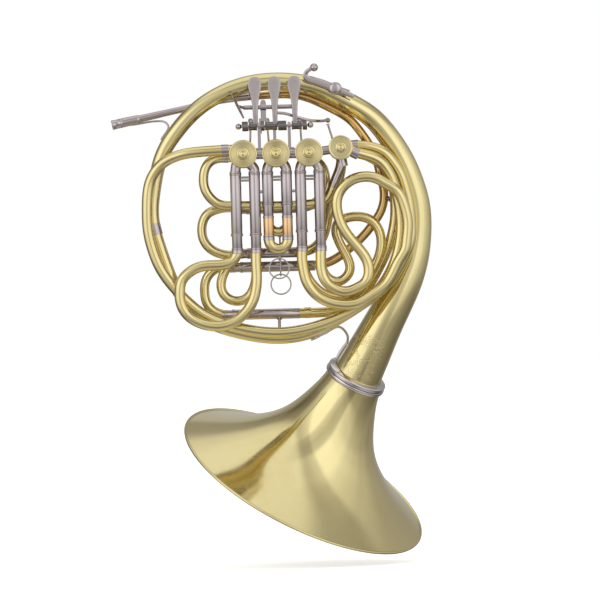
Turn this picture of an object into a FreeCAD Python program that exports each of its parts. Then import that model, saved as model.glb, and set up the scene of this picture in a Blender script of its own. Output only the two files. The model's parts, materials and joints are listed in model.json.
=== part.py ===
import FreeCAD, Part
import math
import os
import Sketcher
from FreeCAD import Matrix, Placement, Rotation, Vector

# Double French horn, built as separate soldered, sliding and turning pieces, in millimetres.
# The origin is the centre of the mouthpiece receiver's mouth.  X runs along the row of slides
# towards the bell side, Y from the valve caps (front) to the rear plates, Z up.
# Places are given from the valve datum and moved into this frame by at().

doc = FreeCAD.newDocument("horn")
sheet = doc.addObject("Spreadsheet::Sheet", "Dims")
size = {}
NODES = {}
XDIR = Vector(1, 0, 0)
YDIR = Vector(0, 1, 0)
ZDIR = Vector(0, 0, 1)
DOWN = Vector(0, 0, -1)


def add_dims(rows):
    """Add (alias, value) rows to the sheet and to size."""
    for alias, value in rows:
        size[alias] = value
        row = len(size)
        sheet.set(f"A{row}", alias)
        sheet.set(f"B{row}", str(value))
        sheet.setAlias(f"B{row}", alias)


add_dims([
    # valve datum in the finished frame
    ("datum_x", 198.36), ("datum_y", -26.0), ("datum_z", -99.18),
    # valves 1 to 3 in a row, and the change valve (valve 4)
    ("valve_pitch", 38.4), ("valve_mid_x", -6.6), ("valve_z", 60.2),
    ("change_x", 69.1), ("change_z", 64.9),
    ("casing_r", 15.5), ("casing_bore_r", 13.8), ("rotor_r", 13.75), ("windway_r", 5.2),
    ("change_casing_r", 14.0), ("change_casing_bore_r", 12.4), ("change_rotor_r", 12.35),
    ("change_windway_r", 4.6),
    ("casing_front_y", -27.0), ("casing_len", 58.0), ("casing_let_in", 0.35), ("port_r", 4.6),
    ("rotor_front_y", -25.0), ("rotor_len", 54.0),
    ("spindle_r", 3.0), ("spindle_bore_r", 3.05), ("plate_thick", 3.0),
    ("stop_arm_r", 11.0), ("link_pin_r", 1.1),
    # two decks of slides and the middles of their three rows
    ("front_deck_y", -15.0), ("rear_deck_y", 14.0), ("leg_half_gap", 11.0),
    ("f_row1_x", -43.6), ("f_row2_x", -6.3), ("f_row3_x", 32.2),
    # F slides
    ("f_in_r", 6.0), ("f_sleeve_bore_r", 6.05), ("f_sleeve_r", 6.5),
    ("f_bow_r", 6.2), ("f_ring_r", 7.3),
    # B flat slides and both tuning slides
    ("b_in_r", 5.6), ("b_sleeve_bore_r", 5.65), ("b_sleeve_r", 6.05), ("b_bow_r", 5.6),
    ("tube_wall", 0.45), ("ferrule_wall", 0.6),
    ("pull_ring_r", 11.6), ("pull_ring_wire_r", 0.8),
    # coil tubing
    ("feed_r", 6.2), ("return_r", 5.8), ("change_tube_r", 5.6),
    ("crook_r", 5.5), ("f_link_tube_r", 5.7), ("coil_wall", 0.5), ("branch_wall", 0.55),
    ("knuckle_step", 0.5), ("knuckle_wall", 0.5),
    # bell flare, distances from the screw ring
    ("flare_start", 2.2), ("flare_throat_r", 33.9), ("bell_len", 146.0), ("bell_rim_r", 153.2),
    ("bell_wall", 0.7), ("rim_wire_r", 1.7),
    # receiver
    ("receiver_r", 5.7), ("receiver_len", 26.0), ("mouth_bore_r", 4.15),
    ("mouth_bore_len", 4.0), ("taper_end_r", 3.6),
    # levers
    ("hinge_y", -12.0), ("hinge_z", 92.7), ("hinge_rod_r", 1.5), ("hub_bore_r", 1.55),
    ("hub_r", 3.1), ("spatula_w", 14.6), ("spatula_len", 19.0), ("spatula_thick", 1.8),
    ("thumb_z", 115.0), ("thumb_y", -1.5), ("thumb_shaft_r", 2.5), ("hinge_ball_r", 3.5),
])
doc.recompute()


# ---------------------------------------------------------------- helpers
def at(x, y, z):
    """Point given from the valve datum."""
    return Vector(x + size["datum_x"], y + size["datum_y"], z + size["datum_z"])


def points(rows):
    """Centre line from rows of x, y, z; further columns are left out."""
    return [at(*row[:3]) for row in rows]


def unit(v):
    return Vector(v).normalize()


def node(label, obj):
    """Register a finished piece under its label."""
    obj.Label = label
    NODES[label] = obj


def bind(obj, prop, value):
    """Set a property to a number or to an expression on the sheet."""
    if isinstance(value, str):
        obj.setExpression(prop, value)
    else:
        setattr(obj, prop, value)


def primitive(kind, placement, **props):
    obj = doc.addObject(f"Part::{kind}", kind)
    for prop, value in props.items():
        bind(obj, prop, value)
    obj.Placement = placement
    return obj


def cyl(radius, length, base, axis=YDIR):
    return primitive("Cylinder", Placement(base, Rotation(ZDIR, axis)),
                     Radius=radius, Height=length)


def ball(radius, centre):
    return primitive("Sphere", Placement(centre, Rotation()), Radius=radius)


def torus(radius, wire_r, centre, axis=YDIR):
    return primitive("Torus", Placement(centre, Rotation(ZDIR, axis)),
                     Radius1=radius, Radius2=wire_r)


def box(length, width, height, centre, along=XDIR):
    """Box centred on a point, its length turned to a direction in the XZ plane."""
    turn = Rotation(XDIR, along)
    corner = centre - turn.multVec(Vector(length / 2.0, width / 2.0, height / 2.0))
    return primitive("Box", Placement(corner, turn), Length=length, Width=width, Height=height)


def cut(base, tool):
    obj = doc.addObject("Part::Cut", "cut")
    obj.Base = base
    obj.Tool = tool
    return obj


def common(base, tool):
    obj = doc.addObject("Part::Common", "common")
    obj.Base = base
    obj.Tool = tool
    return obj


def fuse(parts):
    if len(parts) == 1:
        return parts[0]
    obj = doc.addObject("Part::MultiFuse", "fuse")
    obj.Shapes = parts
    return obj


def group(parts):
    obj = doc.addObject("Part::Compound", "group")
    obj.Links = parts
    return obj


def sleeve(outer_r, inner_r, length, base, axis=YDIR):
    """Straight hollow tube."""
    return cut(cyl(outer_r, length, base, axis), cyl(inner_r, length, base, axis))


def spline(pts):
    curve = Part.BSplineCurve()
    curve.interpolate(pts)
    return curve


def ends(pts):
    """Start and end of a centre line, each with its outward direction."""
    curve = spline(pts)
    return ((pts[0], unit(curve.tangent(curve.FirstParameter)[0]) * -1.0),
            (pts[-1], unit(curve.tangent(curve.LastParameter)[0])))


def frames(curve, params):
    """Points and rotations along a curve that do not twist about it."""
    out = []
    x = None
    for param in params:
        z = unit(curve.tangent(param)[0])
        if x is None:
            x = unit(z.cross(Vector(0.13, 0.97, 0.2)))
        x = unit(x - z * x.dot(z))
        y = z.cross(x)
        matrix = Matrix(x.x, y.x, z.x, 0, x.y, y.y, z.y, 0, x.z, y.z, z.z, 0, 0, 0, 0, 1)
        out.append((curve.value(param), Rotation(matrix)))
    return out


def bar(pts, radius):
    """Round bar bent along a line of points."""
    curve = spline(pts)
    spine = doc.addObject("Part::Feature", "spine")
    spine.Shape = Part.Wire([curve.toShape()])
    start, turn = frames(curve, [curve.FirstParameter])[0]
    sweep = doc.addObject("Part::Sweep", "bar")
    sweep.Sections = [primitive("Circle", Placement(start, turn), Radius=radius)]
    sweep.Spine = (spine, ["Edge1"])
    sweep.Solid = True
    sweep.Frenet = False
    return sweep


def pipe(pts, outer_r, inner_r):
    """Hollow tube bent along a line of points."""
    return cut(bar(pts, outer_r), bar(pts, inner_r))


def alias_pipe(pts, alias, wall):
    """Bent tube whose outside radius and wall are aliases of the sheet."""
    return pipe(pts, f"Dims.{alias}", f"Dims.{alias} - Dims.{wall}")


def horn_tube(stem, pts, radii, wall):
    """Hollow tube with an outside radius for each point; the radii go to the sheet."""
    aliases = [f"{stem}_st{n:02d}" for n in range(len(radii))]
    add_dims(zip(aliases, radii))
    curve = spline(pts)
    params = [curve.parameter(p) for p in pts]
    params[0] = curve.FirstParameter
    params[-1] = curve.LastParameter
    stations = list(zip(frames(curve, params), aliases))
    skins = []
    for inset in ("", f" - Dims.{wall}"):
        loft = doc.addObject("Part::Loft", "taper")
        loft.Sections = [primitive("Circle", Placement(*frame), Radius=f"Dims.{alias}{inset}")
                         for frame, alias in stations]
        loft.Solid = True
        loft.Ruled = False
        skins.append(loft)
    return cut(*skins)


RING_STEP = 5.0     # greatest number of rings follows from this spacing along the loop
RINGS_PER_RUN = 9   # rings lofted together


def loop_tube(pts, alias):
    """Hollow tube along a tightly wound loop: both skins are lofted in short runs that
    share their end rings, then sewn to a flat annulus at either end."""
    curve = spline(pts)
    length = curve.length()
    count = int(length / RING_STEP)
    params = [curve.parameterAtDistance(length * k / count) for k in range(count)]
    stations = frames(curve, params + [curve.LastParameter])
    last = len(stations) - 1
    breaks = list(range(0, last, RINGS_PER_RUN))
    if len(breaks) > 1 and last - breaks[-1] < 3:
        breaks.pop()
    breaks.append(last)
    skins, faces = [], []
    for radius in (size[alias], size[alias] - size["tube_wall"]):
        rings = []
        for frame in stations:
            ring = Part.Wire([Part.Circle(Vector(), ZDIR, radius).toShape()])
            ring.Placement = Placement(*frame)
            rings.append(ring)
        for first, end in zip(breaks[:-1], breaks[1:]):
            faces += Part.makeLoft(rings[first:end + 1], False, False).Faces
        skins.append(rings)
    for end in (0, -1):
        faces.append(Part.Face([rings[end] for rings in skins], "Part::FaceMakerBullseye"))
    shell = Part.makeCompound(faces)
    shell.sewShape()
    solid = Part.Solid(shell.Shells[0])
    if solid.Volume < 0:    # sewn inside out
        solid.reverse()
    obj = doc.addObject("Part::Feature", "loop")
    obj.Shape = solid
    return obj


def sketch_on(body, role):
    """Sketch on one of the body's own planes."""
    sketch = body.newObject("Sketcher::SketchObject", "profile")
    plane = next(f for f in body.Origin.OriginFeatures if f.Role == role)
    sketch.AttachmentSupport = [(plane, "")]
    sketch.MapMode = "FlatFace"
    return sketch


def closed_profile(sketch, corners):
    """Closed chain of straight lines with joined corners."""
    count = len(corners)
    for k in range(count):
        start, end = corners[k], corners[(k + 1) % count]
        sketch.addGeometry(Part.LineSegment(Vector(*start, 0), Vector(*end, 0)), False)
    for k in range(count):
        sketch.addConstraint(Sketcher.Constraint("Coincident", k, 2, (k + 1) % count, 1))


def finish_turned(body, sketch, base, axis):
    """Turn the sketch about its vertical axis and lay the body's Z along axis."""
    turn = body.newObject("PartDesign::Revolution", "turn")
    turn.Profile = sketch
    turn.ReferenceAxis = (sketch, ["V_Axis"])
    turn.Angle = 360.0
    body.Tip = turn
    body.Placement = Placement(base, Rotation(ZDIR, axis))
    return body


def turned(corners, base, axis):
    """Turned body from (radius, height) corners; a corner's value may be an alias."""
    body = doc.addObject("PartDesign::Body", "turned")
    sketch = sketch_on(body, "XZ_Plane")
    closed_profile(sketch, [[size.get(v, v) for v in corner] for corner in corners])
    for k, corner in enumerate(corners):
        for value, kind, zero_line in zip(corner, ("DistanceX", "DistanceY"), (-2, -1)):
            number = size.get(value, value)
            if abs(number) < 1e-9:
                sketch.addConstraint(Sketcher.Constraint("PointOnObject", k, 1, zero_line))
                continue
            i = sketch.addConstraint(Sketcher.Constraint(kind, -1, 1, k, 1, number))
            if isinstance(value, str):
                sketch.setExpression(f"Constraints[{i}]", f"Dims.{value}")
    return finish_turned(body, sketch, base, axis)


def plate(outline, thick, base, turn):
    """Body padded from a closed outline drawn in its own XY plane."""
    body = doc.addObject("PartDesign::Body", "plate")
    sketch = sketch_on(body, "XY_Plane")
    closed_profile(sketch, outline)
    pad = body.newObject("PartDesign::Pad", "pad")
    pad.Profile = sketch
    bind(pad, "Length", thick)
    body.Tip = pad
    body.Placement = Placement(base, turn)
    return body


# ------------------------------------------------------------------- bell
RING_CENTRE = at(80.68, 55.0, -204.01)
BELL_AXIS = unit(Vector(-65.83, 49.0, -122.69))

# distance from the screw ring, outside radius
FLARE = [
    (size["flare_start"], size["flare_throat_r"]),
    (15, 35.5), (31, 39.9), (50, 46.8), (69, 55.5), (86, 66.7), (100, 79.8), (112, 94.0),
    (125, 113.5), (136, 133.5),
    (size["bell_len"], size["bell_rim_r"]),
]

# x, y, z, outside radius; the last station lies at the screw ring
BELL_BRANCH = [
    (-150.5, 11.15, -26.49, 7.4), (-152.79, 11.36, -1.85, 7.3), (-149.33, 11.56, 27.32, 7.7),
    (-144.39, 11.59, 50.6, 8.2), (-135.18, 11.44, 71.42, 8.8), (-123.26, 11.27, 88.67, 9.4),
    (-105.67, 11.08, 108.1, 9.4), (-88.57, 11.38, 121.7, 9.4), (-72.77, 11.67, 130.65, 9.6),
    (-50.42, 12.45, 139.43, 9.9), (0.29, 14.22, 145.12, 10.5), (46.86, 16.99, 135.71, 11.1),
    (80, 19.77, 118.46, 11.7), (102.67, 22.82, 103.82, 12.2), (126.53, 26.02, 76.27, 12.9),
    (143.73, 28.22, 44.92, 14), (152.23, 29.4, 20.94, 14.5), (157.17, 30.55, -0.6, 15),
    (158.24, 31.68, -22.28, 15.6), (156.27, 32.78, -43.89, 16.4), (150.2, 33.36, -70.18, 18.1),
    (139.96, 34.42, -94.61, 20.5), (122.25, 36.96, -127.26, 22.5), (113.9, 39.5, -142.26, 23.4),
    (99.75, 45.5, -168.81, 25.7),
]
BELL_END_R = 29.2
BELL_LINE = points(BELL_BRANCH) + [RING_CENTRE - BELL_AXIS * 0.3]


def bell_flare():
    """Thin flare turned between an outer spline and the same spline moved in by the wall."""
    body = doc.addObject("PartDesign::Body", "flare")
    sketch = sketch_on(body, "XZ_Plane")
    outer = [Vector(r, height, 0) for height, r in FLARE]
    outer_curve = spline(outer)
    wall = size["bell_wall"]
    inner = []
    for p in outer:
        along = unit(outer_curve.tangent(outer_curve.parameter(p))[0])
        inner.append(p + Vector(-along.y, along.x, 0) * wall)
    inner[0] = outer[0] - Vector(wall, 0, 0)    # flat end at the ring
    sketch.addGeometry(outer_curve, False)
    sketch.addGeometry(Part.LineSegment(outer[-1], inner[-1]), False)
    sketch.addGeometry(spline(inner), False)
    sketch.addGeometry(Part.LineSegment(outer[0], inner[0]), False)
    for joint in ((0, 2, 1, 1), (1, 2, 2, 2), (0, 1, 3, 1), (3, 2, 2, 1)):
        sketch.addConstraint(Sketcher.Constraint("Coincident", *joint))
    for kind, end, alias in (("DistanceX", 2, "bell_rim_r"), ("DistanceY", 2, "bell_len"),
                             ("DistanceY", 1, "flare_start"), ("DistanceX", 1, "flare_throat_r")):
        i = sketch.addConstraint(Sketcher.Constraint(kind, -1, 1, 0, end, size[alias]))
        sketch.setExpression(f"Constraints[{i}]", f"Dims.{alias}")
    return finish_turned(body, sketch, RING_CENTRE, BELL_AXIS)


node("bell_flare", bell_flare())
node("bell_rim_wire", torus("Dims.bell_rim_r + 0.6", "Dims.rim_wire_r",
                            RING_CENTRE + BELL_AXIS * (size["bell_len"] + 0.4), BELL_AXIS))
# screw ring: the tail's half on the branch side, the flare's half beyond it
node("bell_ring_tail", turned(
    [(28.95, -6.2), (31.6, -6.2), (36.2, -4.4), (36.2, -0.1), (28.95, -0.1)],
    RING_CENTRE, BELL_AXIS))
node("bell_ring_flare", turned(
    [(33.6, 0.1), (36.6, 0.1), (37.1, 1.6), (36.6, 4.6), (35.6, 5.6), (33.6, 5.6)],
    RING_CENTRE, BELL_AXIS))
node("bell_branch", horn_tube("bell", BELL_LINE, [row[3] for row in BELL_BRANCH] + [BELL_END_R],
                              "branch_wall"))

# --------------------------------------------------- receiver and leadpipe
MOUTH = Vector()
RECEIVER_AXIS = unit(Vector(25.71, 0, 5.18))

# x, y, z, outside radius; the first station lies inside the receiver
LEADPIPE = [
    (-146.94, 26, 109.54, 4.1), (-129.29, 26, 113.05, 3.8), (-109.3, 26, 116.98, 3.8),
    (-88.1, 26.19, 121.69, 3.9), (-64.59, 26.38, 125.75, 4), (-35.26, 26.6, 128.5, 4.2),
    (-5.96, 26.84, 130.07, 4.6), (23.25, 27.1, 128.14, 5), (57.97, 27.36, 113.18, 5.1),
    (81, 27.39, 98.53, 5.1), (94.6, 27.15, 81.79, 5.1), (111.32, 26.9, 49.75, 5.1),
    (114.46, 26.69, 35.63, 5.1), (118.59, 26.51, 14.45, 5.1), (118.28, 26.36, 2.75, 5.1),
    (114.44, 26.25, -10.02, 5.1), (107.11, 26.17, -21.53, 5.1), (95.02, 26.11, -36.43, 5.1),
    (77.05, 26.06, -52.34, 5.1), (56.8, 26.03, -65.86, 5.3), (35.58, 26, -71.51, 5.3),
]
LEAD_START_R = 4.4
LEAD_LINE = [MOUTH + RECEIVER_AXIS * (size["receiver_len"] + 0.1)] + points(LEADPIPE)

node("leadpipe", horn_tube("lead", LEAD_LINE, [LEAD_START_R] + [row[3] for row in LEADPIPE],
                           "coil_wall"))
node("mouthpiece_receiver", turned([
    ("mouth_bore_r", 0.0), (5.3, 0.0), ("receiver_r", 0.8), ("receiver_r", 11.4), (5.3, 11.9),
    (5.3, 12.6), (5.65, 13.0), (5.15, 30.0), (4.75, 33.0), (4.35, 33.0),
    (4.35, "receiver_len"), ("taper_end_r", "receiver_len"), ("mouth_bore_r", "mouth_bore_len"),
], MOUTH, RECEIVER_AXIS))

# ----------------------------------------------------------- valve layout
FRONT_Y, REAR_Y = size["front_deck_y"], size["rear_deck_y"]
CASING_FRONT = size["casing_front_y"]
CASING_REAR = CASING_FRONT + size["casing_len"]
VALVE_Z = size["valve_z"]
# valve number: x, z of its axis
VALVES = {v: (size["valve_mid_x"] + (v - 2) * size["valve_pitch"], VALVE_Z) for v in (1, 2, 3)}
VALVES[4] = (size["change_x"], size["change_z"])


def valve_at(v, y, dx=0.0, dz=0.0):
    """Point on a valve's axis, or beside it."""
    x, z = VALVES[v]
    return at(x + dx, y, z + dz)


def valve_alias(v, name):
    """Alias of a valve's size; the change valve has its own."""
    return name if v < 4 else f"change_{name}"


def trimmed(tube, *valves):
    """Tube let into the outer skin of the casings it is soldered to."""
    drums = [cyl(f"Dims.{valve_alias(v, 'casing_r')} - Dims.casing_let_in", "Dims.casing_len",
                 valve_at(v, CASING_FRONT)) for v in valves]
    return cut(tube, fuse(drums))


# ------------------------------------------------------------ coil tubing
# x, y, z, outside radius
FIRST_BRANCH = [
    (76.65, 4, 66.7, 6.1), (97.71, 4, 66.49, 6.16), (109.35, 5.02, 63.85, 6.21),
    (120.89, 6.05, 57.7, 6.26), (129.97, 7.08, 46.92, 6.32), (137.82, 8.13, 33.84, 6.38),
    (143.24, 9.18, 17.32, 6.43), (146.94, 10.26, 2, 6.49), (149.19, 11.35, -23.8, 6.54),
    (148.05, 11.45, -44.84, 6.59), (141.16, 11.57, -62.22, 6.65), (122.85, 11.69, -91, 6.71),
    (92.94, 11.75, -115.96, 6.76), (63.21, 11.75, -133.91, 6.82),
    (27.66, 11.73, -150.54, 6.87), (-7.58, 11.7, -155.46, 6.92),
    (-54.21, 11.67, -148.39, 6.98), (-94.75, 11.64, -132.11, 7.04),
    (-123.23, 11.57, -102.11, 7.09), (-139.76, 11.34, -63.05, 7.14),
    (-149.46, 11, -31.2, 7.2),
]
# the tables below hold x, y, z
FEED = [
    (-56.8, -11, 65.74), (-79.05, -11, 65.27), (-95.45, -10.18, 64.53),
    (-113.06, -8.36, 62.65), (-128.39, -5.55, 58.37), (-140.27, -3.74, 51.66),
    (-148.7, -2.89, 42.52), (-154.85, -1.9, 30.97), (-158.17, -1.89, 15.85),
    (-159.22, -1.89, -1.68), (-158.66, -1.92, -25.11), (-154.53, -1.99, -46.28),
    (-145.79, -2.07, -69.92), (-125.47, -2.14, -98.54), (-94.6, -2.06, -126.27),
    (-54.06, -1.96, -142.54), (-7.41, -1.88, -149.03), (27.81, -1.8, -144.69),
    (63.24, -1.74, -132.74), (98.91, -1.65, -111.44), (123.1, -1.5, -81.64),
    (133.13, -1.34, -56.15), (137.4, -1.17, -27.01), (133.64, -2.02, 8.2),
    (126.07, -3.97, 31.81), (112.49, -6.98, 49.72), (92.79, -10, 57.26), (77.71, -11, 62.57),
]
RETURN = [
    (16.57, 26, -127.07), (39.98, 26, -126.87), (63.47, 26.05, -123.97),
    (81.27, 26.1, -114.49), (96.9, 26.14, -98.51), (109.12, 25.19, -78.93),
    (119.61, 23.21, -58.14), (126.57, 21.18, -38.43), (130.6, 19.14, -18.64),
    (131.15, 17.1, 2.42), (127.67, 15.06, 25.92), (119.29, 15.03, 41.35),
    (105.53, 15, 52.25), (77.7, 16, 61.99),
]
CHANGE = [
    (-57.03, 2, 56.97), (-72.25, 2, 56.9), (-82.86, 1, 53.67), (-89.51, 0, 45.65),
    (-92.16, 0, 34.01), (-90.74, 0, 21.1), (-84.01, 0, 9.81), (-73.67, 0, 2.4),
    (-59.67, -0.5, 0.63), (35.13, -0.5, 0.6), (45.72, -0.5, 2.9), (54.11, -0.5, 10.29),
    (59.06, -0.5, 20.69), (63.43, 0, 31.11), (67.57, 0, 41.54), (68.9, 0, 56.72),
]
F_TUNING_UPPER = [
    (10.45, 27.5, -3.2), (19.82, 27.5, -3.09), (30.39, 27.5, -1.38), (42.29, 27.5, 5.92),
    (49.64, 27.5, 18.6), (50.53, 27.5, 30.28), (47.92, 27, 42.05), (41.11, 26, 50.42),
]
F_TUNING_LOWER = [
    (9.08, 27.5, -55.48), (18.46, 27.8, -55.02), (29.03, 28.5, -53.43), (40.94, 30, -45.55),
    (48.33, 30, -31.7), (52.91, 29, -13.09), (57.46, 27, 4.35), (63.77, 25, 21.74),
    (68.64, 22, 38), (70.01, 20, 54.35),
]


def coil_tube(rows, alias, *valves):
    return trimmed(alias_pipe(points(rows), alias, "coil_wall"), *valves)


node("first_branch", trimmed(
    horn_tube("first", points(FIRST_BRANCH), [row[3] for row in FIRST_BRANCH], "coil_wall"), 4))
node("feed_tube", coil_tube(FEED, "feed_r", 1, 4))
node("return_tube", coil_tube(RETURN, "return_r", 4))
node("change_tube", coil_tube(CHANGE, "change_tube_r", 1, 4))
node("f_tuning_tubes", group([coil_tube(F_TUNING_UPPER, "f_link_tube_r", 3),
                              coil_tube(F_TUNING_LOWER, "f_link_tube_r", 4)]))

# ----------------------------------------------------------------- valves
MINUS_X, PLUS_X, BELOW = math.pi, 0.0, -math.pi / 2
SLIDE_PORTS = [(BELOW + lean, y) for y in (FRONT_Y, REAR_Y) for lean in (-0.62, 0.62)]
# valve number: (angle from +X towards +Z, y) of each port
PORTS = {
    1: [(MINUS_X, -11.0), (MINUS_X, 2.0), (PLUS_X, FRONT_Y), (PLUS_X, REAR_Y)] + SLIDE_PORTS,
    2: [(MINUS_X, FRONT_Y), (MINUS_X, REAR_Y), (PLUS_X, FRONT_Y), (PLUS_X, REAR_Y)]
       + SLIDE_PORTS,
    3: [(MINUS_X, FRONT_Y), (MINUS_X, REAR_Y)] + SLIDE_PORTS,
    4: [(-0.35, -10.0), (0.12, 4.0), (-0.6, 16.0), (BELOW, 0.0), (BELOW, 20.0)],
}


def casing(v):
    """Open drum with its ports drilled radially."""
    outer, bore = valve_alias(v, "casing_r"), valve_alias(v, "casing_bore_r")
    start, end = size[bore] - 3.0, size[outer] + 3.0
    drills = []
    for angle, y in PORTS[v]:
        out = Vector(math.cos(angle), 0, math.sin(angle))
        drills.append(cyl("Dims.port_r", end - start, valve_at(v, y) + out * start, out))
    drum = sleeve(f"Dims.{outer}", f"Dims.{bore}", "Dims.casing_len", valve_at(v, CASING_FRONT))
    return cut(drum, fuse(drills))


def rotor(v):
    """Drum with two scooped windways on each deck and a spindle at the rear."""
    alias = valve_alias(v, "rotor_r")
    front = size["rotor_front_y"]
    drum = cyl(f"Dims.{alias}", "Dims.rotor_len", valve_at(v, front))
    ways = [torus(size[alias], f"Dims.{valve_alias(v, 'windway_r')}",
                  valve_at(v, y, side * size[alias], side * size[alias]))
            for y in (FRONT_Y, REAR_Y) for side in (1, -1)]
    spindle = cyl("Dims.spindle_r", 12.5, valve_at(v, front + size["rotor_len"] - 0.5))
    return fuse([cut(drum, group(ways)), spindle])


MAIN_CAP_R, CHANGE_CAP_R = 16.4, 14.3


def cap(v):
    """Screw cap with turned rings, a raised boss and a knob, facing the front."""
    rim = MAIN_CAP_R if v < 4 else CHANGE_CAP_R
    k = rim / MAIN_CAP_R
    corners = [
        (0.0, 0.0), (rim - 1.6, 0.0), (rim - 0.5, 0.3), (rim, 0.9), (rim, 3.4),
        (rim - 0.6, 3.8), (rim - 2.1 * k, 3.8), (rim - 2.5 * k, 3.45), (rim - 4.2 * k, 3.45),
        (rim - 4.6 * k, 3.9), (rim - 5.6 * k, 3.9), (rim - 6.0 * k, 3.5), (rim - 7.3 * k, 3.5),
        (6.3 * k, 4.3), (5.5 * k, 4.4), (5.3 * k, 5.2), (4.8 * k, 6.2), (3.4 * k, 6.7),
        (0.0, 6.8),
    ]
    return turned(corners, valve_at(v, CASING_FRONT - 0.05), YDIR * -1.0)


node("valve_casings", group([casing(v) for v in (1, 2, 3)]))
node("change_casing", casing(4))
for v in VALVES:
    node(f"rotor_{v}", rotor(v))
node("rear_plates", group([
    sleeve(f"Dims.{valve_alias(v, 'casing_r')}", "Dims.spindle_bore_r", "Dims.plate_thick",
           valve_at(v, CASING_REAR)) for v in VALVES]))
node("valve_caps", group([cap(v) for v in (1, 2, 3)]))
node("change_cap", cap(4))

# ------------------------------------------------- knuckles below the valves
ROW_X = {v: size[f"f_row{v}_x"] for v in (1, 2, 3)}
HALF_GAP = size["leg_half_gap"]
LEG_TOP = VALVE_Z - 21.0


def knuckle(v, side, y, sleeve_alias):
    """Elbow from a casing's side to the top of a slide sleeve."""
    x, z = VALVES[v]
    leg_x = ROW_X[v] + side * HALF_GAP
    pts = [at(x + side * 6.2, y, z - 8.5), at(x + side * 8.2, y, z - 12.0),
           at(leg_x - side * 0.45, y, z - 16.6), at(leg_x, y, LEG_TOP)]
    outer_r = f"Dims.{sleeve_alias} - Dims.knuckle_step"
    return trimmed(pipe(pts, outer_r, f"{outer_r} - Dims.knuckle_wall"), v)


def valve_bridge(first, second, y, outer_r):
    """Straight tube between two casings."""
    start = valve_at(first, y)
    span = valve_at(second, y) - start
    tube = sleeve(outer_r, outer_r - size["knuckle_wall"], span.Length, start, unit(span))
    return trimmed(tube, first, second)


node("knuckles", group(
    [knuckle(v, side, y, alias) for v in (1, 2, 3)
     for y, alias in ((FRONT_Y, "f_sleeve_r"), (REAR_Y, "b_sleeve_r")) for side in (-1, 1)]
    + [valve_bridge(v, v + 1, y, 5.6) for v in (1, 2) for y in (FRONT_Y, REAR_Y)]
    + [valve_bridge(3, 4, 3.0, 5.2)]))

# ----------------------------------------------------------- valve slides
# Loops between the two leg ends, x, y, z
F1_LOOP = [
    (-56.18, -15, -58.22), (-62.56, -15, -65.07), (-73.18, -15, -68.31), (-87.23, -15, -68.52),
    (-98.98, -15, -69.97), (-110.82, -15, -75.51), (-120.46, -15, -85.8), (-123.13, -15, -98.6),
    (-122.3, -15, -111.5), (-116.76, -15, -123.35), (-106.46, -15, -132.39),
    (-92.56, -15, -138.02), (-77.39, -15, -139.59), (-63.26, -15, -136.45),
    (-50.15, -15, -127.43), (-40.49, -15, -115.98), (-34.83, -15, -100.91),
    (-32.94, -15, -86.92), (-33.18, -15, -69.36),
]
F3_LOOP = [
    (20.83, -15, -67.26), (21.99, -15, -76.65), (24.6, -15, -88.42), (30.18, -15, -99.1),
    (40.44, -15, -109.32), (51.99, -15, -115.24), (69.46, -15, -118.62), (84.72, -15, -116.92),
    (98.97, -15.01, -109.1), (109.68, -15.01, -102.36), (120.48, -15.02, -92.11),
    (127.83, -15.03, -79.42), (133.99, -15.04, -67.88), (141.34, -15.06, -55.2),
    (143.37, -15.09, -44.72), (145.09, -15.12, -23.7), (142.57, -15.16, -8.41),
    (139.34, -15.21, 2.2), (132.04, -15.26, 14.1), (121.11, -15.23, 21.41),
    (109.58, -15.18, 28.15), (97.94, -15.13, 30.44), (82.65, -15.1, 27.68),
    (70.73, -15.07, 19.22), (63.99, -15.05, 7.69), (62.57, -15.03, -1.64),
    (64.55, -15.02, -15.73), (70.03, -15.01, -29.92), (79.05, -15.01, -43.03),
    (88.68, -15, -54.99), (95.98, -15, -66.89), (98.36, -15, -78.65), (94.75, -15, -91.43),
    (84.01, -15, -99.34), (69.87, -15, -103.07), (54.8, -15, -97.41), (46.83, -15, -89.01),
    (43.04, -15, -77.2), (42.53, -15, -65.49),
]
B1_LOOP = [
    (-56.41, 14, -53.53), (-61.33, 14, -62.77), (-68.63, 13.99, -73.11),
    (-73.58, 13.99, -83.51), (-75, 13.98, -92.84), (-72.32, 13.98, -102.27),
    (-64.88, 13.97, -108.9), (-55.57, 13.96, -110.9), (-46.14, 13.94, -108.22),
    (-38.91, 13.93, -100.22), (-34.46, 13.91, -86.88), (-33.18, 14, -69.36),
]
B3_LOOP = [
    (20.69, 14, -59.06), (22.63, 13.89, -74.33), (28.14, 13.88, -87.35), (37.78, 13.88, -99.3),
    (51.01, 13.88, -107.84), (67.33, 13.86, -110.61), (82.72, 13.84, -103.99),
    (94.73, 13.82, -92.02), (103.3, 13.79, -77.61), (110.72, 13.75, -62.59),
    (113.84, 13.77, -46.29), (111.52, 13.81, -32.18), (102.47, 13.85, -20.24),
    (87.37, 13.89, -15.51), (73.29, 13.91, -17.13), (63.78, 13.94, -22.74),
    (61.19, 13.96, -32.03), (63.84, 13.97, -42.64), (69.38, 13.98, -54.48),
    (74.92, 13.99, -66.33), (76.4, 13.99, -76.91), (70.28, 14, -87.28), (60.82, 14, -91.13),
    (51.55, 14, -87.37), (44.79, 14, -77.25), (42.59, 14, -63.15),
]
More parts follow.
